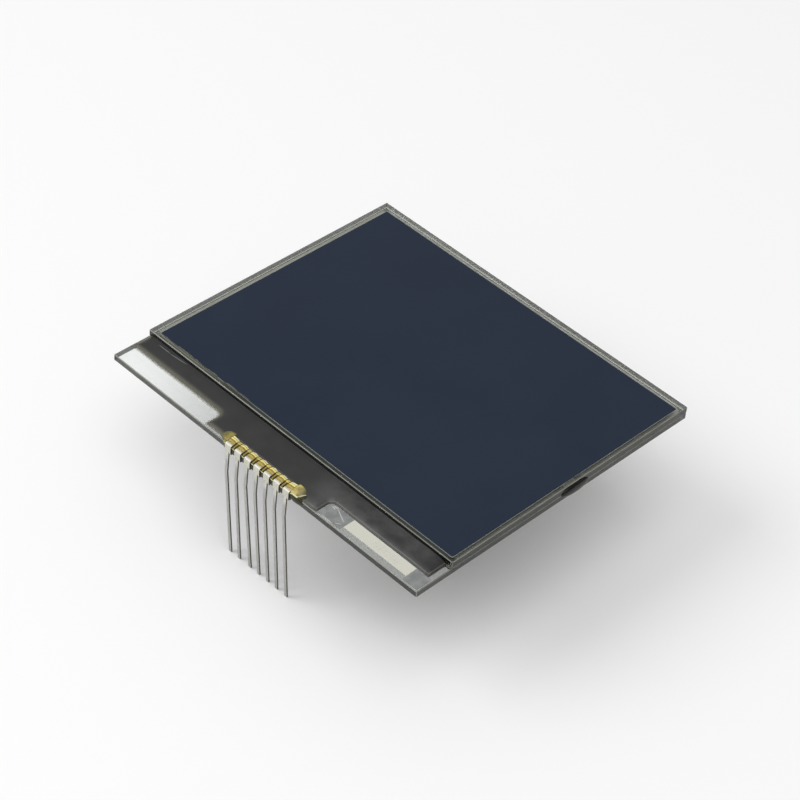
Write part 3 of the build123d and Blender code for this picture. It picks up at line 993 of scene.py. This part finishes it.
def spaced(low: float, high: float, pitch: float) -> list[float]:
    """Places strictly between two ends, at most a pitch apart.

    Args:
        low: The lower end.
        high: The upper end.
        pitch: Largest distance between neighbours.

    Returns:
        The places in order.
    """
    count = math.ceil((high - low) / pitch)
    return [low + (high - low) * number / count for number in range(1, count)]


@dataclass(frozen=True)
class ThinLayer:
    """A flat layer whose two faces stand a hair clear of the sheets that it touches."""

    node: str
    slot: Slot
    hair_mm: float = 0.002

    def build(self) -> bpy.types.Object:
        """Copy the node's solid, draw its two faces back and let the copy stand for it.

        Returns:
            The piece.
        """
        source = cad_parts[self.node]
        low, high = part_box(self.node)
        shape = bmesh.new()
        shape.from_mesh(source.data)
        bmesh.ops.remove_doubles(shape, verts=shape.verts[:], dist=0.0001 * MM)
        reach = 0.1 * self.hair_mm * MM
        for level, push in ((low.z, self.hair_mm), (high.z, -self.hair_mm)):
            face = [vertex for vertex in shape.verts if abs(vertex.co.z - level) < reach]
            bmesh.ops.translate(shape, verts=face, vec=(0.0, 0.0, push * MM))
        piece = finish_mesh(f"{self.node}_layer", shape, source.data.materials[0], self.slot,
                            smooth=False)
        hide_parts(self.node)
        return piece


@dataclass
class LedgeCoating:
    """Black resin over the driver chip, thin at its rim and raised against the front sheet."""

    COVER = "cover"

    block_shift_mm: float = -0.05
    block_width_mm: float = 23.5
    strip_edge_distance_mm: float = 3.1
    corner_radius_mm: float = 0.7
    ledge_border_mm: float = 0.08
    height_mm: float = 0.5
    rim_width_mm: float = 1.5
    rim_rings: int = 10
    waver_mm: float = 0.10
    buried_mm: float = 1.5
    notch_depth_mm: float = 1.45
    notch_border_mm: float = 0.3
    slice_mm: float = 0.9
    ripple_mm: float = 0.05
    ripple_size_mm: float = 3.2
    climb_mm: float = 0.06
    climb_width_mm: float = 0.5
    climb_cuts: Sequence[float] = (0.25, 0.5, 0.75, 1.0)
    waver_size_mm: float = 4.0
    deepest_waver: float = -0.3

    def outline(self, shape: bmesh.types.BMesh) -> bmesh.types.BMFace:
        """Draw the plan of the coating as one face, with its two inner corners rounded.

        Args:
            shape: The bmesh to draw in.

        Returns:
            The face.
        """
        _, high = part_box("ledge_coating")
        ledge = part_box("rear_glass")[0]
        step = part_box("front_glass")[0].y
        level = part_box("rear_glass")[1].z
        strip_low = ledge.y + self.strip_edge_distance_mm * MM
        buried = step + self.buried_mm * MM
        near = ledge.y + self.ledge_border_mm * MM
        end = ledge.x + self.ledge_border_mm * MM
        left = (self.block_shift_mm - self.block_width_mm / 2) * MM
        right = (self.block_shift_mm + self.block_width_mm / 2) * MM
        places = ((end, buried), (end, strip_low), (left, strip_low), (left, near),
                  (right, near), (right, strip_low), (high.x, strip_low), (high.x, buried))
        corners = [shape.verts.new((x, y, level)) for x, y in places]
        shape.faces.new(corners)
        rounded = [corners[2], corners[5]]
        bmesh.ops.bevel(shape, geom=rounded, offset=self.corner_radius_mm * MM, offset_type="OFFSET",
                        segments=8, profile=0.5, affect="VERTICES", material=-1)
        shape.faces.ensure_lookup_table()
        return shape.faces[0]

    def raise_rim(self, shape: bmesh.types.BMesh, top: bmesh.types.BMFace) -> None:
        """Step the face inwards ring by ring while it rises to its full height.

        Args:
            shape: The bmesh that holds the plan.
            top: The plan's face.
        """
        cover = shape.verts.layers.float[self.COVER]
        level = top.verts[0].co.z
        done = 0.0
        for ring in range(1, self.rim_rings + 1):
            along = ring / self.rim_rings
            reach = self.rim_width_mm * MM * along
            bmesh.ops.inset_region(shape, faces=[top], thickness=reach - done, depth=0.0,
                                   use_even_offset=True, use_boundary=True)
            for vertex in top.verts:
                vertex.co.z = level + self.height_mm * MM * math.sin(math.pi / 2 * along)
                vertex[cover] = along
            done = reach

    def slice_up(self, shape: bmesh.types.BMesh, step: float) -> None:
        """Cut the shell off at the front sheet and divide it so that it can ripple.

        Args:
            shape: The bmesh that holds the shell.
            step: Where the front sheet's edge stands.
        """
        low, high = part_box("rear_glass")
        cuts = [(Vector((x, 0, 0)), Vector((1, 0, 0)))
                for x in spaced(low.x, high.x, self.slice_mm * MM)]
        cuts += [(Vector((0, y, 0)), Vector((0, 1, 0)))
                 for y in spaced(low.y, step, self.slice_mm * MM)]
        for share in self.climb_cuts:
            cuts.append((Vector((0, step - share * self.climb_width_mm * MM, 0)), Vector((0, 1, 0))))
        for place, normal in cuts:
            bmesh.ops.bisect_plane(shape, geom=whole(shape),
                                   plane_co=place, plane_no=normal)
        bmesh.ops.bisect_plane(shape, geom=whole(shape),
                               plane_co=(0, step, 0), plane_no=(0, 1, 0), clear_outer=True)

    def cut_notch(self, shape: bmesh.types.BMesh) -> None:
        """Take away the stretch at the ledge's edge where the adhesive lies.

        Args:
            shape: The bmesh that holds the shell.
        """
        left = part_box("pin_1")[0].x - self.notch_border_mm * MM
        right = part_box("pin_7")[1].x + self.notch_border_mm * MM
        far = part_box("rear_glass")[0].y + self.notch_depth_mm * MM
        sides = (((left, 0, 0), (1, 0, 0)), ((right, 0, 0), (1, 0, 0)), ((0, far, 0), (0, 1, 0)))
        for place, normal in sides:
            bmesh.ops.bisect_plane(shape, geom=whole(shape),
                                   plane_co=place, plane_no=normal)
        inside = [face for face in shape.faces
                  if left < face.calc_center_median().x < right and face.calc_center_median().y < far]
        bmesh.ops.delete(shape, geom=inside, context="FACES")

    def ripple(self, shape: bmesh.types.BMesh, step: float) -> None:
        """Let the shell swell a little, and climb the front sheet's edge.

        Args:
            shape: The bmesh that holds the shell.
            step: Where the front sheet's edge stands.
        """
        cover = shape.verts.layers.float[self.COVER]
        size = self.ripple_size_mm * MM
        wave = self.waver_size_mm * MM
        for vertex in shape.verts:
            swell = noise.noise(Vector((vertex.co.x / size, vertex.co.y / size, 0.0)))
            near = max(0.0, 1 - (step - vertex.co.y) / (self.climb_width_mm * MM))
            climb = self.climb_mm * MM * near * near
            vertex.co.z += vertex[cover] * (swell * self.ripple_mm * MM + climb)
            if vertex.co.y < step - self.rim_width_mm * MM:
                waver = noise.noise(Vector((vertex.co.x / wave, vertex.co.y / wave, 7.0)))
                held = max(waver, self.deepest_waver)
                vertex.co.y += (1 - vertex[cover]) * held * self.waver_mm * MM

    def close(self, shape: bmesh.types.BMesh, level: float) -> None:
        """Give the shell a flat underside on the ledge and walls where it is cut.

        Args:
            shape: The bmesh that holds the shell.
            level: Height of the ledge.
        """
        open_edges = [edge for edge in shape.edges if edge.is_boundary]
        copied = bmesh.ops.duplicate(shape, geom=whole(shape))["geom"]
        below = [item for item in copied if isinstance(item, bmesh.types.BMFace)]
        bmesh.ops.reverse_faces(shape, faces=below)
        walls = bmesh.ops.extrude_edge_only(shape, edges=open_edges)["geom"]
        for item in copied + walls:
            if isinstance(item, bmesh.types.BMVert):
                item.co.z = level
        bmesh.ops.remove_doubles(shape, verts=shape.verts[:], dist=0.0005 * MM)
        bmesh.ops.triangulate(shape, faces=shape.faces[:])
        bmesh.ops.recalc_face_normals(shape, faces=shape.faces[:])

    def build(self, material: bpy.types.Material) -> bpy.types.Object:
        """Make the coating and let it stand for the plain solid.

        Args:
            material: The coating's material.

        Returns:
            The piece.
        """
        shape = bmesh.new()
        shape.verts.layers.float.new(self.COVER)
        top = self.outline(shape)
        if top.normal.z < 0:
            top.normal_flip()
        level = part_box("rear_glass")[1].z
        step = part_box("front_glass")[0].y
        self.raise_rim(shape, top)
        self.slice_up(shape, step)
        self.cut_notch(shape)
        self.ripple(shape, step)
        self.close(shape, level)
        piece = finish_mesh("coating_film", shape, material, Slot.COATING)
        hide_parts("ledge_coating")
        return piece


@dataclass(frozen=True)
class MarginShade:
    """Hair-thin dark sheet of painted shade on the front sheet between its ground seam and the film's ledge
    side.
    """

    seam_distance_mm: float = 0.12
    film_distance_mm: float = 0.02
    lift_mm: float = 0.003
    thickness_mm: float = 0.012

    def build(self, material: bpy.types.Material) -> bpy.types.Object:
        """Lay the painted shade.

        Args:
            material: The painted shade's material.

        Returns:
            The piece.
        """
        sheet_low, sheet_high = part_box("front_glass")
        film_low, film_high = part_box("front_polarizer")
        floor = sheet_high.z + self.lift_mm * MM
        low = Vector((film_low.x, sheet_low.y + self.seam_distance_mm * MM, floor))
        high = Vector((film_high.x, film_low.y - self.film_distance_mm * MM,
                       floor + self.thickness_mm * MM))
        shape = bmesh.new()
        add_box(shape, low, high)
        return finish_mesh("margin_shade", shape, material, Slot.COATING, smooth=False)


@dataclass(frozen=True)
class LedgeResidueAndShade:
    """Hair-thin smear on the bare ledge, before the label or beyond it: residue strings, with a grey body
    that is painted shade.
    """

    beyond_label: bool = False
    block_distance_mm: float = 0.02
    label_distance_mm: float = 0.08
    edge_distance_mm: float = 0.22
    lift_mm: float = 0.003
    thickness_mm: float = 0.012

    def extent(self) -> tuple[Vector, Vector]:
        """Say where the smear lies.

        Returns:
            The low and high corners of its box.
        """
        coating = LedgeCoating()
        corner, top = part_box("rear_glass")
        start = (coating.block_shift_mm + coating.block_width_mm / 2 + self.block_distance_mm) * MM
        far = corner.y + (coating.strip_edge_distance_mm - self.block_distance_mm) * MM
        floor = top.z + self.lift_mm * MM
        label_low, label_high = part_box("lot_label")
        end = label_low.x - self.label_distance_mm * MM
        if self.beyond_label:
            start = label_high.x + self.label_distance_mm * MM
            end = top.x - self.edge_distance_mm * MM
        low = Vector((start, corner.y + self.edge_distance_mm * MM, floor))
        high = Vector((end, far, floor + self.thickness_mm * MM))
        return low, high

    def build(self, material: bpy.types.Material) -> bpy.types.Object:
        """Lay the smear.

        Args:
            material: The material of the residue and its painted shade.

        Returns:
            The piece.
        """
        low, high = self.extent()
        shape = bmesh.new()
        add_box(shape, low, high)
        name = "end_residue_and_shade" if self.beyond_label else "ledge_residue_and_shade"
        return finish_mesh(name, shape, material, Slot.GLUE, smooth=False)


@dataclass(frozen=True)
class Lump:
    """An ellipsoid of adhesive, placed from the ledge's top edge."""

    x_mm: float
    y_mm: float
    z_mm: float
    radii_mm: Sequence[float]


@dataclass
class PinBead:
    """Amber adhesive that wets the pins' fingers and creeps over the ledge's edge."""

    pin_count: int = 7
    head_width_mm: float = 1.2
    ridge_middle_mm: Sequence[float] = (0.74, 0.02)
    ridge_radii_mm: Sequence[float] = (0.95, 0.46)
    finger: Lump = Lump(0.0, 0.82, 0.02, (0.66, 0.94, 0.60))
    gap: Lump = Lump(0.0, 0.0, -0.42, (0.46, 0.30, 0.86))
    left_lobe: Sequence[Lump] = (Lump(-0.3, 1.2, 0.0, (1.8, 1.18, 0.62)),
                                 Lump(-0.2, 0.0, -0.4, (0.5, 0.26, 0.8)))
    right_lobe: Sequence[Lump] = (Lump(0.4, 1.05, 0.0, (1.95, 1.22, 0.70)),
                                  Lump(1.7, 0.98, 0.0, (1.35, 0.70, 0.44)),
                                  Lump(1.05, 0.1, -0.36, (1.55, 0.40, 0.74)))
    voxel_mm: float = 0.06
    smoothing_rounds: int = 8
    sunk_mm: float = 0.02

    def lumps(self) -> Iterable[tuple[Vector, Vector]]:
        """Give the middle and radii of each lump that the bead runs together from.

        Yields:
            Middle and radii, in metres.
        """
        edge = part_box("rear_glass")[0].y
        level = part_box("rear_glass")[1].z
        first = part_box("pin_1")[0].x
        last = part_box(f"pin_{self.pin_count}")[1].x
        head = self.head_width_mm * MM
        pitch = (last - first - head) / (self.pin_count - 1)
        plan = [(first + head / 2 + number * pitch, self.finger) for number in range(self.pin_count)]
        plan += [(first + head / 2 + (number + 0.5) * pitch, self.gap)
                 for number in range(self.pin_count - 1)]
        plan += [(first, lump) for lump in self.left_lobe]
        plan += [(last, lump) for lump in self.right_lobe]
        for x, lump in plan:
            place = Vector((x + lump.x_mm * MM, edge + lump.y_mm * MM, level + lump.z_mm * MM))
            yield place, Vector(lump.radii_mm) * MM

    def ridge(self, shape: bmesh.types.BMesh) -> None:
        """Lay the even ridge that runs from the first pin to the last.

        Args:
            shape: The bmesh to add it to.
        """
        low_x, high_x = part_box("pin_1")[0].x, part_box(f"pin_{self.pin_count}")[1].x
        middle = Vector(((low_x + high_x) / 2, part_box("rear_glass")[0].y + self.ridge_middle_mm[0] * MM,
                         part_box("rear_glass")[1].z + self.ridge_middle_mm[1] * MM))
        deep, tall = (radius * MM for radius in self.ridge_radii_mm)
        turned = Matrix.Rotation(math.pi / 2, 4, "Y")
        sized = Matrix.Diagonal((1.0, deep, tall, 1.0))
        bmesh.ops.create_cone(shape, cap_ends=True, segments=48, radius1=1.0, radius2=1.0,
                              depth=high_x - low_x, matrix=Matrix.Translation(middle) @ sized @ turned)

    def build(self, material: bpy.types.Material) -> bpy.types.Object:
        """Make the bead from joined lumps and let it stand for the plain solid.

        Args:
            material: The adhesive's material.

        Returns:
            The piece.
        """
        shape = bmesh.new()
        for middle, radii in self.lumps():
            matrix = Matrix.Translation(middle) @ Matrix.Diagonal((*radii, 1.0))
            bmesh.ops.create_icosphere(shape, subdivisions=4, radius=1.0, matrix=matrix)
        self.ridge(shape)
        piece = finish_mesh("adhesive_bead", shape, material, Slot.ADHESIVE)
        remesh = piece.modifiers.new("run_together", "REMESH")
        remesh.mode = "VOXEL"
        remesh.voxel_size = self.voxel_mm * MM
        apply_modifiers(piece)
        self.soften(piece)
        self.trim(piece)
        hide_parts("pin_adhesive")
        return piece

    def soften(self, piece: bpy.types.Object) -> None:
        """Round the creases between the lumps.

        Args:
            piece: The bead.
        """
        shape = bmesh.new()
        shape.from_mesh(piece.data)
        for _ in range(self.smoothing_rounds):
            bmesh.ops.smooth_vert(shape, verts=shape.verts[:], factor=0.5, use_axis_x=True,
                                  use_axis_y=True, use_axis_z=True)
        shape.to_mesh(piece.data)
        shape.free()

    def trim(self, piece: bpy.types.Object) -> None:
        """Cut away what would lie inside the rear sheet.

        Args:
            piece: The bead.
        """
        low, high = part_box("rear_glass")
        sunk = self.sunk_mm * MM
        cutter_shape = bmesh.new()
        size = Vector((high.x - low.x, high.y - low.y, 3 * MM))
        middle = Vector((0.0, (low.y + high.y) / 2 + sunk, high.z - sunk - size.z / 2))
        bmesh.ops.create_cube(cutter_shape, size=1.0,
                              matrix=Matrix.Translation(middle) @ Matrix.Diagonal((*size, 1.0)))
        mesh = bpy.data.meshes.new("cutter")
        cutter_shape.to_mesh(mesh)
        cutter_shape.free()
        cutter = bpy.data.objects.new("cutter", mesh)
        bpy.context.scene.collection.objects.link(cutter)
        cut = piece.modifiers.new("seat", "BOOLEAN")
        cut.operation = "DIFFERENCE"
        cut.object = cutter
        cut.solver = "EXACT"
        apply_modifiers(piece)
        bpy.data.objects.remove(cutter)
        bpy.data.meshes.remove(mesh)


@dataclass(frozen=True)
class GroundSeam:
    """Frosted ribbon on the slanted seams that are ground on a sheet's edges."""

    sheet: str
    lift_mm: float = 0.004
    border_mm: float = 0.001
    thickness_mm: float = 0.01
    steepest: float = 0.95

    def build(self, material: bpy.types.Material) -> bpy.types.Object:
        """Copy the sheet's seams and lift them off the glass by a hair.

        Args:
            material: The frosted finish.

        Returns:
            The piece.
        """
        shape = bmesh.new()
        shape.from_mesh(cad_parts[self.sheet].data)
        bmesh.ops.remove_doubles(shape, verts=shape.verts[:], dist=0.0001 * MM)
        shape.normal_update()
        flat = [face for face in shape.faces if max(abs(part) for part in face.normal) > self.steepest]
        bmesh.ops.delete(shape, geom=flat, context="FACES")
        shape.normal_update()
        for vertex in shape.verts:
            vertex.co += vertex.normal * self.lift_mm * MM
        bmesh.ops.solidify(shape, geom=shape.faces[:], thickness=self.thickness_mm * MM)
        bmesh.ops.recalc_face_normals(shape, faces=shape.faces[:])
        low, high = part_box(self.sheet)
        border = self.border_mm * MM
        for vertex in shape.verts:
            for axis in range(3):
                vertex.co[axis] = min(max(vertex.co[axis], low[axis] + border), high[axis] - border)
        return finish_mesh(f"{self.sheet}_seams", shape, material, Slot.GLASS, smooth=False)


@dataclass(frozen=True)
class PortPlug:
    """Drop of hardened glue that bulges over the fill port on the cell's side."""

    sunk_mm: float = 0.02
    shift_mm: float = 0.25
    fullness: float = 1.18

    def build(self, material: bpy.types.Material) -> bpy.types.Object:
        """Shape the drop and let it stand for the plain solid.

        Args:
            material: The glue's material.

        Returns:
            The piece.
        """
        low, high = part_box("end_seal_plug")
        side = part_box("front_glass")[1].x
        middle = Vector((side, (low.y + high.y) / 2 + self.shift_mm * MM, (low.z + high.z) / 2))
        radii = Vector((high.x - side, self.fullness * (high.y - low.y) / 2, (high.z - low.z) / 2))
        shape = bmesh.new()
        bmesh.ops.create_icosphere(shape, subdivisions=5, radius=1.0,
                                   matrix=Matrix.Translation(middle) @ Matrix.Diagonal((*radii, 1.0)))
        cut = side - self.sunk_mm * MM
        bmesh.ops.bisect_plane(shape, geom=whole(shape),
                               plane_co=(cut, 0, 0), plane_no=(1, 0, 0), clear_inner=True)
        bmesh.ops.holes_fill(shape, edges=[edge for edge in shape.edges if edge.is_boundary])
        bmesh.ops.triangulate(shape, faces=[face for face in shape.faces if len(face.verts) > 4])
        bmesh.ops.recalc_face_normals(shape, faces=shape.faces[:])
        piece = finish_mesh("port_glue_drop", shape, material, Slot.GLUE)
        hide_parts("end_seal_plug")
        return piece


@dataclass(frozen=True)
class ViewPoint:
    """Where the camera stands, worked out from the corners of the glass in the photograph."""

    azimuth_deg: float = 41.506
    elevation_deg: float = 41.55
    roll_deg: float = 5.893
    distance_mm: float = 357.865
    target_mm: Sequence[float] = (1.737, -1.635, 0.2)
    focal_pixels: float = 2461.99
    sensor_mm: float = 36.0

    def place(self) -> bpy.types.Object:
        """Make the camera and aim it.

        Returns:
            The camera.
        """
        azimuth = math.radians(self.azimuth_deg)
        elevation = math.radians(self.elevation_deg)
        roll = math.radians(self.roll_deg)
        back = Vector((math.sin(azimuth) * math.cos(elevation),
                       -math.cos(azimuth) * math.cos(elevation), math.sin(elevation)))
        level = (-back).cross(Vector((0, 0, 1))).normalized()
        rise = level.cross(-back)
        right = math.cos(roll) * level + math.sin(roll) * rise
        up = -math.sin(roll) * level + math.cos(roll) * rise
        data = bpy.data.cameras.new("camera")
        data.sensor_width = self.sensor_mm
        data.lens = self.focal_pixels / IMAGE_PIXELS * self.sensor_mm
        data.clip_start = 0.01
        data.clip_end = 20.0
        camera = bpy.data.objects.new("camera", data)
        turned = Matrix((right, up, back)).transposed().to_4x4()
        stand = Vector(self.target_mm) * MM + back * self.distance_mm * MM
        camera.matrix_world = Matrix.Translation(stand) @ turned
        bpy.context.scene.collection.objects.link(camera)
        bpy.context.scene.camera = camera
        return camera


@dataclass(frozen=True)
class SoftLight:
    """A large soft panel that shines at the cell."""

    name: str
    place_m: Sequence[float]
    size_m: float
    watts: float
    colour: Colour = (1.0, 1.0, 1.0)

    def build(self) -> bpy.types.Object:
        """Hang the panel.

        Returns:
            The light.
        """
        data = bpy.data.lights.new(self.name, "AREA")
        data.shape = "DISK"
        data.size = self.size_m
        data.energy = self.watts
        data.color = self.colour
        light = bpy.data.objects.new(self.name, data)
        light.location = self.place_m
        light.rotation_euler = Vector(self.place_m).to_track_quat("Z", "Y").to_euler()
        bpy.context.scene.collection.objects.link(light)
        return light


@dataclass
class Studio:
    """Pale floor, soft panels and an even sky."""

    floor_drop_mm: float = 0.1
    floor_size_m: float = 4.0
    floor_colour: Colour = (0.79, 0.79, 0.79)
    sky_bright_side: Sequence[float] = (-0.55, -0.45, 0.70)
    sky_low: float = 0.10
    sky_high: float = 0.62
    floor_glow: float = 0.14
    floor_roughness: float = 0.9
    floor_specular: float = 0.1
    panels: Sequence[SoftLight] = (
        SoftLight("key_panel", (-0.55, -0.60, 0.80), 0.7, 5.4),
        SoftLight("top_panel", (0.25, -0.15, 1.0), 0.8, 3.6),
    )

    def build(self) -> None:
        """Lay the floor, hang the panels and set the sky."""
        low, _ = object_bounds()
        shape = bmesh.new()
        bmesh.ops.create_grid(shape, x_segments=1, y_segments=1, size=self.floor_size_m / 2,
                              matrix=Matrix.Translation((0, 0, low[2] - self.floor_drop_mm * MM)))
        mesh = bpy.data.meshes.new("floor")
        shape.to_mesh(mesh)
        shape.free()
        floor = bpy.data.objects.new("floor", mesh)
        bpy.context.scene.collection.objects.link(floor)
        material = bpy.data.materials.new("floor_paint")
        material.use_nodes = True
        graph = Graph(material.node_tree)
        shader = graph.node("ShaderNodeBsdfPrincipled")
        out = graph.node("ShaderNodeOutputMaterial")
        graph.feed(out.inputs["Surface"], shader.outputs[0])
        graph.feed(shader.inputs["Base Color"], self.floor_colour)
        graph.feed(shader.inputs["Roughness"], self.floor_roughness)
        graph.feed(shader.inputs["Specular IOR Level"], self.floor_specular)
        graph.feed(shader.inputs["Emission Color"], (1.0, 1.0, 1.0))
        graph.feed(shader.inputs["Emission Strength"], self.floor_glow)
        mesh.materials.append(material)
        floor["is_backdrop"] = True
        for panel in self.panels:
            panel.build()
        self.hang_sky()
        view = bpy.context.scene.view_settings
        view.view_transform = "Standard"
        view.look = "None"

    def hang_sky(self) -> None:
        """Surround the stage with a white sky that is brighter on one side."""
        world = bpy.data.worlds.new("sky")
        bpy.context.scene.world = world
        world.use_nodes = True
        graph = Graph(world.node_tree)
        place = graph.node("ShaderNodeTexCoord")
        facing = graph.node("ShaderNodeVectorMath", operation="DOT_PRODUCT")
        graph.feed(facing.inputs[0], place.outputs["Generated"])
        graph.feed(facing.inputs[1], Vector(self.sky_bright_side).normalized())
        sky = graph.node("ShaderNodeBackground")
        out = graph.node("ShaderNodeOutputWorld")
        strength = graph.remap(facing.outputs["Value"], -0.8, 0.9, self.sky_low, self.sky_high)
        graph.feed(sky.inputs["Color"], (1.0, 1.0, 1.0))
        graph.feed(sky.inputs["Strength"], strength)
        graph.feed(out.inputs["Surface"], sky.outputs[0])


class CellFinishes:
    """Dresses each node of the frame in its finish."""

    # The glass's near black edge colour is painted shade on its cut edges.
    GLASS = GlassFinish("sheet_glass", (0.93, 0.955, 0.94), roughness=0.0, transmission=1.0,
                        ior=1.08, coat=0.75, coat_roughness=0.0,
                        edge_colour_and_shade=(0.006, 0.0063, 0.0056), shadow_pass=1.0)
    SEAM = SeamFinish("ground_seam", (0.27, 0.28, 0.245), roughness=0.5,
                      dark_colour=(0.20, 0.21, 0.18), mottle_mm=2.4)
    # Painted shade for the front sheet's margin along the ledge.
    RESIN_SHADE = MarginShadeFinish("margin_shade", (0.034, 0.036, 0.031), roughness=0.4, specular=0.3,
                        dark_colour=(0.026, 0.028, 0.024), mottle_mm=1.5)
    FRONT_FILM = FilmFinish("front_film", (0.0165, 0.0245, 0.0435), roughness=0.42, specular=0.15,
                            dark_colour=(0.0145, 0.022, 0.040), mottle_mm=14.0, grain_mm=0.05, swell_mm=8.0,
                            swell_share=2.0, bump_mm=0.0012, edge_colour_and_shade=(0.30, 0.32, 0.29))
    REAR_FILM = Finish("rear_film", (0.36, 0.355, 0.27), roughness=0.04, specular=0.3, transmission=1.0,
                       ior=1.3, dark_colour=(0.32, 0.315, 0.235), mottle_mm=11.0, shadow_pass=0.6)
    # Its grey body is painted shade over the bare ledge; the bright strings are residue.
    RESIDUE_AND_SHADE = ResidueAndShadeFinish("ledge_residue_and_shade", (0.245, 0.255, 0.25), roughness=0.35,
                            dark_colour=(0.185, 0.193, 0.19), mottle_mm=1.1)
    SEAL = SealFinish("seal_glue", (0.32, 0.313, 0.27), roughness=0.5, dark_colour=(0.29, 0.283, 0.243),
                      mottle_mm=1.2)
    CRYSTAL = Finish("liquid_crystal", (0.55, 0.57, 0.55), roughness=0.2, alpha=0.06)
    CONDUCTOR = Finish("clear_conductor", (0.62, 0.66, 0.56), roughness=0.15, alpha=0.10)
    PASTE = Finish("conductive_paste", (0.55, 0.55, 0.53), roughness=0.5, metallic=0.8,
                   dark_colour=(0.42, 0.42, 0.40), mottle_mm=0.3)
    SILICON = Finish("silicon", (0.10, 0.10, 0.12), roughness=0.25, metallic=0.4,
                     dark_colour=(0.08, 0.08, 0.10), mottle_mm=2.0)
    BOND = Finish("bond_film", (0.28, 0.26, 0.20), roughness=0.4, dark_colour=(0.2, 0.18, 0.13),
                  mottle_mm=0.3)
    COATING = CoatingFinish("black_resin", (0.017, 0.017, 0.0165), roughness=0.36, specular=0.5,
                            mottle_mm=5.0, grain_mm=0.12, swell_mm=2.6, swell_share=6.0, bump_mm=0.003)
    ADHESIVE = BeadFinish("amber_adhesive", (0.74, 0.60, 0.14), roughness=0.06, transmission=0.2, ior=1.42,
                          specular=0.3, dark_colour=(0.42, 0.33, 0.06), mottle_mm=0.4, grain_mm=0.35,
                          swell_mm=0.9, swell_share=1.5, bump_mm=0.008, shadow_pass=0.6)
    PLUG = Finish("port_glue", (0.014, 0.014, 0.012), roughness=0.22, ior=1.48, specular=0.3,
                  dark_colour=(0.006, 0.006, 0.005), mottle_mm=1.0, grain_mm=0.3, swell_mm=0.9,
                  swell_share=1.5, bump_mm=0.008)
    TIN = TinFinish("tinned_metal", (0.63, 0.62, 0.54), roughness=0.5, metallic=0.45,
                    dark_colour=(0.54, 0.53, 0.45), mottle_mm=0.9, grain_mm=0.08, swell_mm=1.2,
                    swell_share=1.0, bump_mm=0.0014)

    def __init__(self, effects: Effects) -> None:
        """Build the finishes.

        Args:
            effects: The shared node groups.
        """
        self.effects = effects
        self.coating = self.COATING.build(effects)
        self.adhesive = self.ADHESIVE.build(effects)
        self.seam = self.SEAM.build(effects)
        self.plug = self.PLUG.build(effects)
        self.residue_and_shade = self.RESIDUE_AND_SHADE.build(effects)
        self.resin_shade = self.RESIN_SHADE.build(effects)

    def dress(self, nodes: Iterable[str], material: bpy.types.Material) -> None:
        """Give nodes one material.

        Args:
            nodes: Names of the nodes.
            material: The material.
        """
        for name in nodes:
            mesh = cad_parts[name].data
            mesh.materials.clear()
            mesh.materials.append(material)
            LOG.info("%s: %s", name, material.name)

    def dress_all(self) -> None:
        """Dress every node of the frame."""
        pins = sorted(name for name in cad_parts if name.startswith("pin_") and name[4:].isdigit())
        plan = (
            (("rear_glass", "front_glass"), self.GLASS), (("front_polarizer",), self.FRONT_FILM),
            (("rear_polarizer",), self.REAR_FILM), (("perimeter_seal",), self.SEAL),
            (("liquid_crystal",), self.CRYSTAL),
            (("row_electrodes", "column_electrodes", "input_traces", "contact_pads"), self.CONDUCTOR),
            (("transfer_dots",), self.PASTE), (("driver_chip",), self.SILICON),
            (("chip_bond_film",), self.BOND), (pins, self.TIN),
            (("lot_label",), LabelFinish()),
        )
        for names, finish in plan:
            self.dress(names, finish.build(self.effects))
        self.dress(("ledge_coating",), self.coating)
        self.dress(("pin_adhesive",), self.adhesive)
        self.dress(("end_seal_plug",), self.plug)


LAYERS = (
    ThinLayer("front_polarizer", Slot.FRONT_FILM),
    ThinLayer("rear_polarizer", Slot.REAR_FILM),
    ThinLayer("perimeter_seal", Slot.SEAL),
    ThinLayer("liquid_crystal", Slot.CRYSTAL),
    ThinLayer("row_electrodes", Slot.CONDUCTOR),
    ThinLayer("column_electrodes", Slot.CONDUCTOR),
    ThinLayer("contact_pads", Slot.CONDUCTOR),
    ThinLayer("input_traces", Slot.CONDUCTOR),
    ThinLayer("transfer_dots", Slot.PASTE),
    ThinLayer("chip_bond_film", Slot.BOND),
    ThinLayer("lot_label", Slot.PAPER),
)


def main() -> None:
    """Build the camera, the stage, the finishes and the new pieces."""
    logging.basicConfig(level=logging.INFO, format="%(name)s: %(message)s")
    ViewPoint().place()
    Studio().build()
    finishes = CellFinishes(Effects())
    finishes.dress_all()
    for layer in LAYERS:
        layer.build()
    LedgeCoating().build(finishes.coating)
    PinBead().build(finishes.adhesive)
    PortPlug().build(finishes.plug)
    for beyond_label in (False, True):
        LedgeResidueAndShade(beyond_label).build(finishes.residue_and_shade)
    MarginShade().build(finishes.resin_shade)
    for sheet in ("rear_glass", "front_glass"):
        GroundSeam(sheet).build(finishes.seam)


if __name__ == "__main__":
    main()
